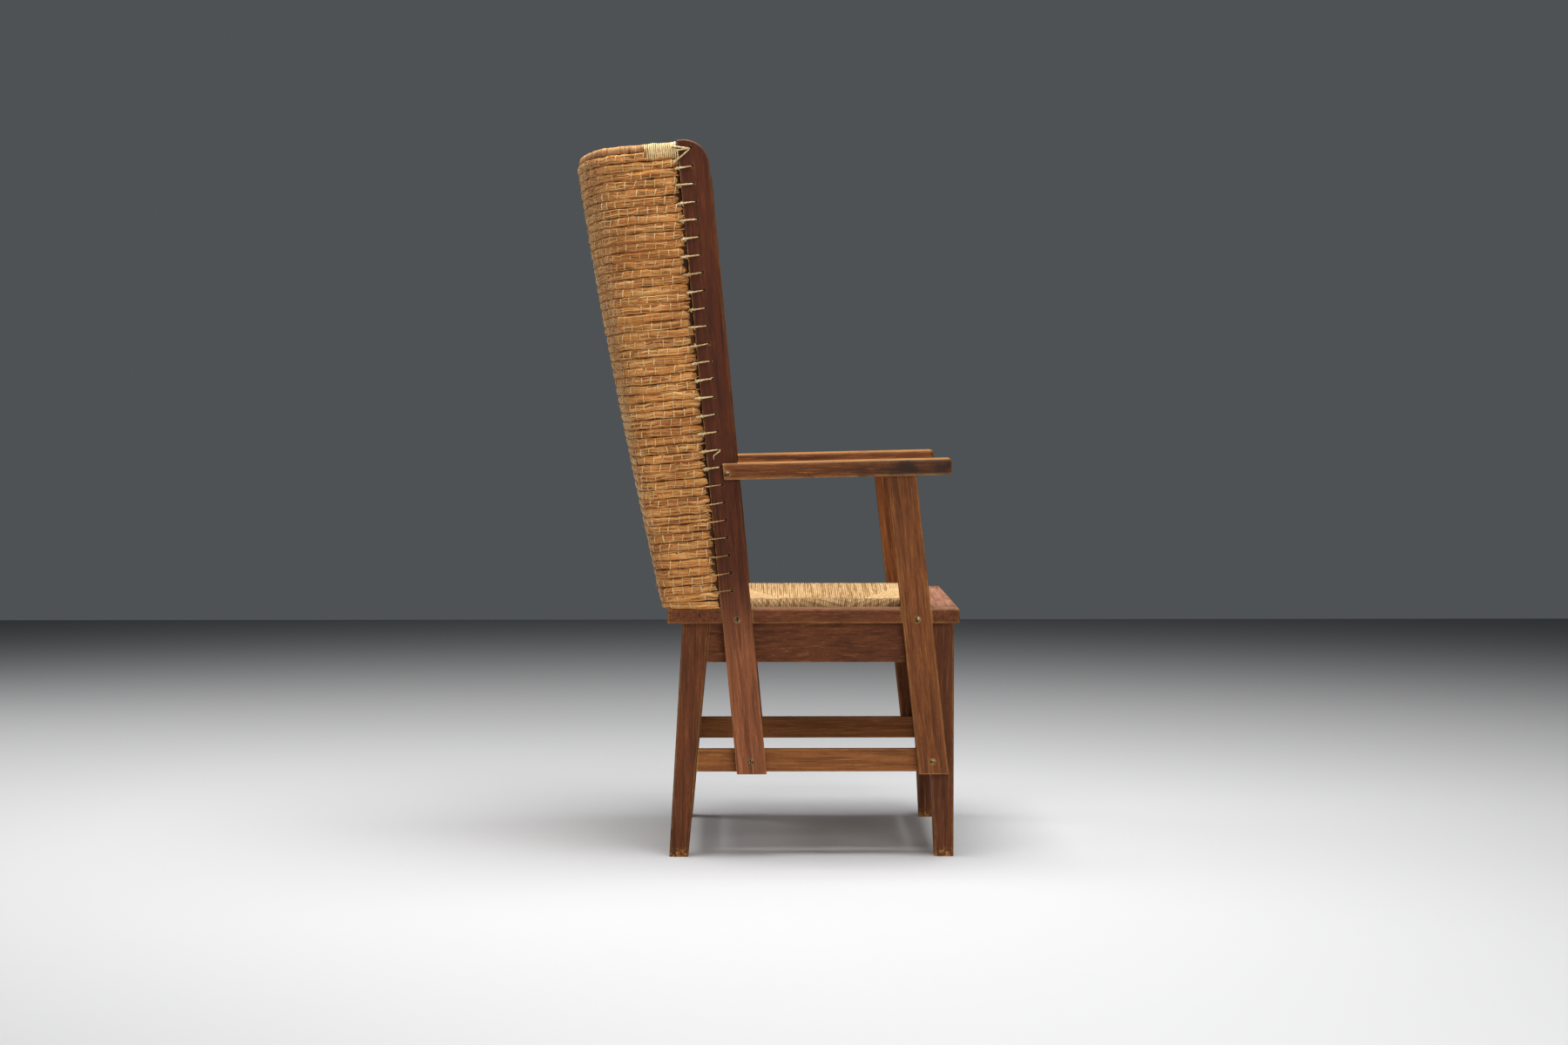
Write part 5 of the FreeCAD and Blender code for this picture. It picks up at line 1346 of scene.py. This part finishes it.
def rush_under(reach, widest):
    """The rest of the cords: a quarter circle over the edge, down the side and back under the seat."""
    turn = np.linspace(0, np.pi / 2, EDGE_STATIONS)
    bend = RUSH_EDGE - CORD_RADIUS
    round_in = np.minimum(RUSH_EDGE - bend * np.sin(turn), widest)
    side_in = np.broadcast_to(SIDE_IN, (len(reach), len(SIDE_IN)))
    under_in = np.maximum(UNDER_SHARES * reach, UNDER_START)
    inward = np.concatenate([round_in, side_in, under_in], 1)
    under_high = np.full(len(UNDER_SHARES), RUSH_LOW + CORD_RADIUS)
    high = np.concatenate([RUSH_TOP - RUSH_EDGE + bend * np.cos(turn), SIDE_HIGH, under_high])
    return inward, np.broadcast_to(high, inward.shape)


print("rush top at the edge", rush_high(0.0), "and in the middle", rush_high(1.0), "mm")

# %% [markdown]
# ## The rush cords
# A field is as many cords as fit side by side along its edge, each as long as the two seams leave it.
# They could be copies of one cord, but hand-laid cords wander and lean at the edge, so each gets its
# own small shifts. Opposite fields are the same function, turned to face each other.

# %% Rush cords
SEAM_SLOPE = 0.55
SEAM_REACH = RUSH_HALF_X * SEAM_SLOPE
SEAM_GAP = 0.6
LEAST_REACH = 2.5
CORD_OVERLAP = 0.02
CORD_UNEVEN = 0.14
CORD_SIDES = 6
CORD_SHIFT = 613.0
CORD_WANDER = 0.2
WANDER_LONG = 19
RUSH_LEAN = 0.22
LEAN_DOWN_TO = 12
ALONG_X = (1.0, 0.0, 0.0)
ALONG_Y = (0.0, 1.0, 0.0)
RUSH_TONES = (tone(240, 210, 162), tone(223, 188, 136), tone(178, 136, 86))
rush_finish = straw_finish("rush_cord", RUSH_TONES, stem_long=0.06, stem_wide=3.0, splits=0.03, twist=0.009)


def rush_field(half_length, half_reach, full_reach, seam_run, seed):
    """Cords of one field, as distance along the edge, distance in from it and height. A cord's reach grows
    from the corners to FULL_REACH, where the bowl is deepest, over a length of SEAM_RUN along the edge."""
    draw = np.random.default_rng(seed)
    number = int(2 * half_length / (2 * CORD_RADIUS - CORD_OVERLAP))
    each = (number, 1)
    edge = ((np.arange(number) + 0.5) / number * 2 * half_length - half_length)[:, None]
    reach = np.minimum(half_reach, (half_length - np.abs(edge)) * full_reach / seam_run)
    reach = np.maximum(reach - SEAM_GAP, LEAST_REACH)
    top_in, top_high = rush_over(reach, full_reach, draw.normal(0, CORD_UNEVEN, each))
    rest_in, rest_high = rush_under(reach, top_in[:, -1:])
    inward = np.concatenate([top_in, rest_in], 1)
    high = np.concatenate([top_high, rest_high], 1)
    wander = draw.normal(0, CORD_UNEVEN, each)
    wander = wander + CORD_WANDER * np.sin(inward / WANDER_LONG + draw.uniform(0, 6, each))
    lean = RUSH_LEAN * np.clip(RUSH_TOP - high, 0, LEAN_DOWN_TO) * (1 - (edge / half_length) ** 4)
    return edge + wander + np.where(inward < RUSH_EDGE, lean, 0.0), inward, high


def rush_cords(name, field, guide, seed):
    """Cord tubes of two opposite fields, mirrored about the seat's middle; GUIDE lies along their edges."""
    paths = []
    for facing in (1.0, -1.0):
        edge, inward, high = rush_field(*field, seed + int(facing))
        if guide == ALONG_X:
            x = edge
            y = RUSH_MIDDLE_Y + facing * (RUSH_HALF_Y - inward)
        else:
            x = facing * (RUSH_HALF_X - inward)
            y = RUSH_MIDDLE_Y + edge
        paths.append(np.stack([x, y, rush_settled(x, high)], -1))
    path = np.concatenate(paths)
    points = round_tubes(path, CORD_RADIUS, CORD_SIDES, np.array(guide))
    shift = np.arange(len(path))[:, None] * CORD_SHIFT
    piece = closed_mesh(name, points, lengths(path) + shift, rush_finish)
    settle(piece, "drop_in_seat", "rush", "rush_seat")


rush_cords("rush_cords_front_rear", (RUSH_HALF_X, RUSH_HALF_Y, SEAM_REACH, RUSH_HALF_X), ALONG_X, 71)
rush_cords("rush_cords_sides", (RUSH_HALF_Y, RUSH_HALF_X, RUSH_HALF_X, SEAM_REACH), ALONG_Y, 75)

# %% [markdown]
# ## The stuffing of the seat
# Between the two layers of cord a rush seat is stuffed with waste rush, which keeps the cords tight.
# It is seen only as shade between them, and its dark straw tones are painted shade. A cushion could be
# simulated for it, but the cords already give the seat its form, so the core is a plain closed body that
# follows them just beneath.

# %% Rush core
CORE_SHARES = np.array([0.95, 0.4, 0.05, 0.03, 0.03, 0.05, 0.15, 0.3, 0.45, 0.6, 0.8, 0.95])
CORE_LOW = RUSH_LOW + 1.6 * CORD_RADIUS
CORE_EDGE = [CORE_LOW + 3, 404.0]
CORE_BELOW_TOP = 2.0
CORE_SIDES = 64


def rush_core():
    """Stuffing: a rounded oblong carried from the middle of the underside out to the edge and back to the
    middle of the top; each ring is the seat's outline drawn in by a distance."""
    top = rush_high(CORE_SHARES[5:]) - CORE_BELOW_TOP
    high = np.concatenate([np.full(3, CORE_LOW), CORE_EDGE, top])
    turn = np.linspace(0, 2 * np.pi, CORE_SIDES, endpoint=False)
    box = np.maximum(np.abs(np.cos(turn)), np.abs(np.sin(turn)))
    x = np.cos(turn) / box * (RUSH_HALF_X * (1 - CORE_SHARES))[:, None]
    y = np.sin(turn) / box * (RUSH_HALF_Y - SEAM_REACH * CORE_SHARES)[:, None] + RUSH_MIDDLE_Y
    points = np.stack([x, y, rush_settled(x, high[:, None])], -1)[None]
    # The stuffing takes the dark straw tones: painted shade.
    piece = closed_mesh("rush_core", points, np.cumsum(CORE_SHARES)[None], painted_shade_straw_finish)
    settle(piece, "drop_in_seat", "rush", "rush_seat")


rush_core()

# %% [markdown]
# ## Screw metal
# The screws are old slotted ones, dulled brown, and the slot's floor is darkened as painted shade. The slot
# could have a finish of its own, but the UV map already counts the slices of a head, so this one only has to
# darken the slice that is the slot's floor.

# %% Screw finish
ROUND_SLICES = 7
SLOT_SLICE = ROUND_SLICES + 1.5
SLOT_FLOOR = 0.499
DULL_METAL = tone(74, 60, 42)
TURNED_METAL = tone(150, 126, 88)
METALLIC = 0.9


def screw_finish():
    """Aged metal: dark brown in the hollows, brighter where it was turned, and painted shade on the slot's
    floor.
    """
    material, tree, shader = new_finish("screw_metal")
    stain = steps(tree, noise(tree, object_spot(tree), scale=160.0), 0.35, 0.65)
    metal = mix(tree, stain, DULL_METAL, TURNED_METAL)
    along = split(tree, put(tree, "UVMap", uv_map="lay").outputs[0])[0]
    slice_number = math_node(tree, "DIVIDE", along, MM)
    from_middle = math_node(tree, "ABSOLUTE", math_node(tree, "SUBTRACT", slice_number, SLOT_SLICE))
    slot_shade = math_node(tree, "LESS_THAN", from_middle, SLOT_FLOOR)
    # Painted shade on the floor of the slot.
    colour = mix(tree, slot_shade, metal, HOLE_SHADE)
    rough = steps(tree, stain, 0.0, 1.0, 0.6, 0.34)
    fill(tree, shader, {"Base Color": colour, "Roughness": rough, "Metallic": METALLIC})
    return material


print("slot floor lies at slice", SLOT_SLICE)

# %% [markdown]
# ## Slotted screws
# Screws hold the uprights and posts to the stool and the arms to the uprights, sunk flush. A head is a
# low dome with a straight slot, which could be cut with a Boolean. Slices across the slot need none:
# each slice is a chord of the circle, and those between the slot's two walls are simply lowered.

# %% Screws
POST_SCREWS = np.array([[46.83, 387.5], [25.36, 157.0], [-243.5, 387.5], [-268.74, 157.0]])
ARM_SCREWS = np.array([[63.56, 622.8]])
ARM_FACE = 285.0
POST_SHANK = 36.0
ARM_SHANK = 28.0
HEAD_RADIUS = 4.7
HEAD_DEEP = 2.0
DOME_RISE = 0.58
SLOT_HALF = 0.65
SLOT_DEEP = 1.3
WALL_HALF = 0.02
SHANK_RADIUS = 2.0
SHANK_OVERLAP = 0.3
SCREW_SIDES = 24


def slotted_screws(name, node, centres, face, shank, seed):
    """Head: slices across the slot, each as long as the circle's chord there, with a top of dome height
    times one minus the square of the radius, lowered between the slot's walls. Shank: a round rod."""
    draw = np.random.default_rng(seed)
    both = np.concatenate([np.c_[np.full(len(centres), s), centres] for s in (LEFT, RIGHT)])
    slot_turn = draw.uniform(0, np.pi, len(both))[:, None, None, None]
    rounded = HEAD_RADIUS * np.sin(np.linspace(0.1, 0.49, ROUND_SLICES) * np.pi)
    half = np.concatenate([[SLOT_HALF - WALL_HALF, SLOT_HALF + WALL_HALF], rounded])
    slices = np.concatenate([-half[::-1], half])[:, None]
    share = np.linspace(-1, 1, SCREW_SIDES // 2)
    chord = np.sqrt(HEAD_RADIUS ** 2 - slices ** 2) * np.concatenate([share, share[::-1]])
    dome = DOME_RISE * (1 - (chord ** 2 + slices ** 2) / HEAD_RADIUS ** 2)
    top = dome - np.where(np.abs(slices) < SLOT_HALF, SLOT_DEEP, 0.0)
    head = np.where(np.arange(SCREW_SIDES) < SCREW_SIDES // 2, top, -HEAD_DEEP)
    turn = np.arange(SCREW_SIDES) * 2 * np.pi / SCREW_SIDES
    depth = np.linspace(-shank, SHANK_OVERLAP - HEAD_DEEP, len(slices))[:, None]
    along = np.stack(np.broadcast_arrays(chord, SHANK_RADIUS * np.cos(turn)))
    across = np.stack(np.broadcast_arrays(slices, SHANK_RADIUS * np.sin(turn)))
    rise = np.stack(np.broadcast_arrays(head, depth))
    side, middle_y, middle_z = (both[:, k, None, None, None] for k in range(3))
    x = side * (face + rise)
    y = middle_y + along * np.cos(slot_turn) - across * np.sin(slot_turn)
    z = middle_z + along * np.sin(slot_turn) + across * np.cos(slot_turn)
    points = np.stack(np.broadcast_arrays(x, y, z), -1)
    mirrored = both[:, 0] < 0
    points[mirrored] = points[mirrored][:, :, :, ::-1]
    points = points.reshape(-1, *points.shape[2:])
    spans = np.broadcast_to(np.arange(len(slices)) * 1.0, points.shape[:2])
    piece = closed_mesh(name, points, spans, screw_finish(), smooth=False)
    settle(piece, "frame", "screw_metal", node)


slotted_screws("slotted_post_screws", "post_screws", POST_SCREWS, HALF_WIDTH, POST_SHANK, 81)
slotted_screws("slotted_arm_screws", "armrest_screws", ARM_SCREWS, ARM_FACE, ARM_SHANK, 82)
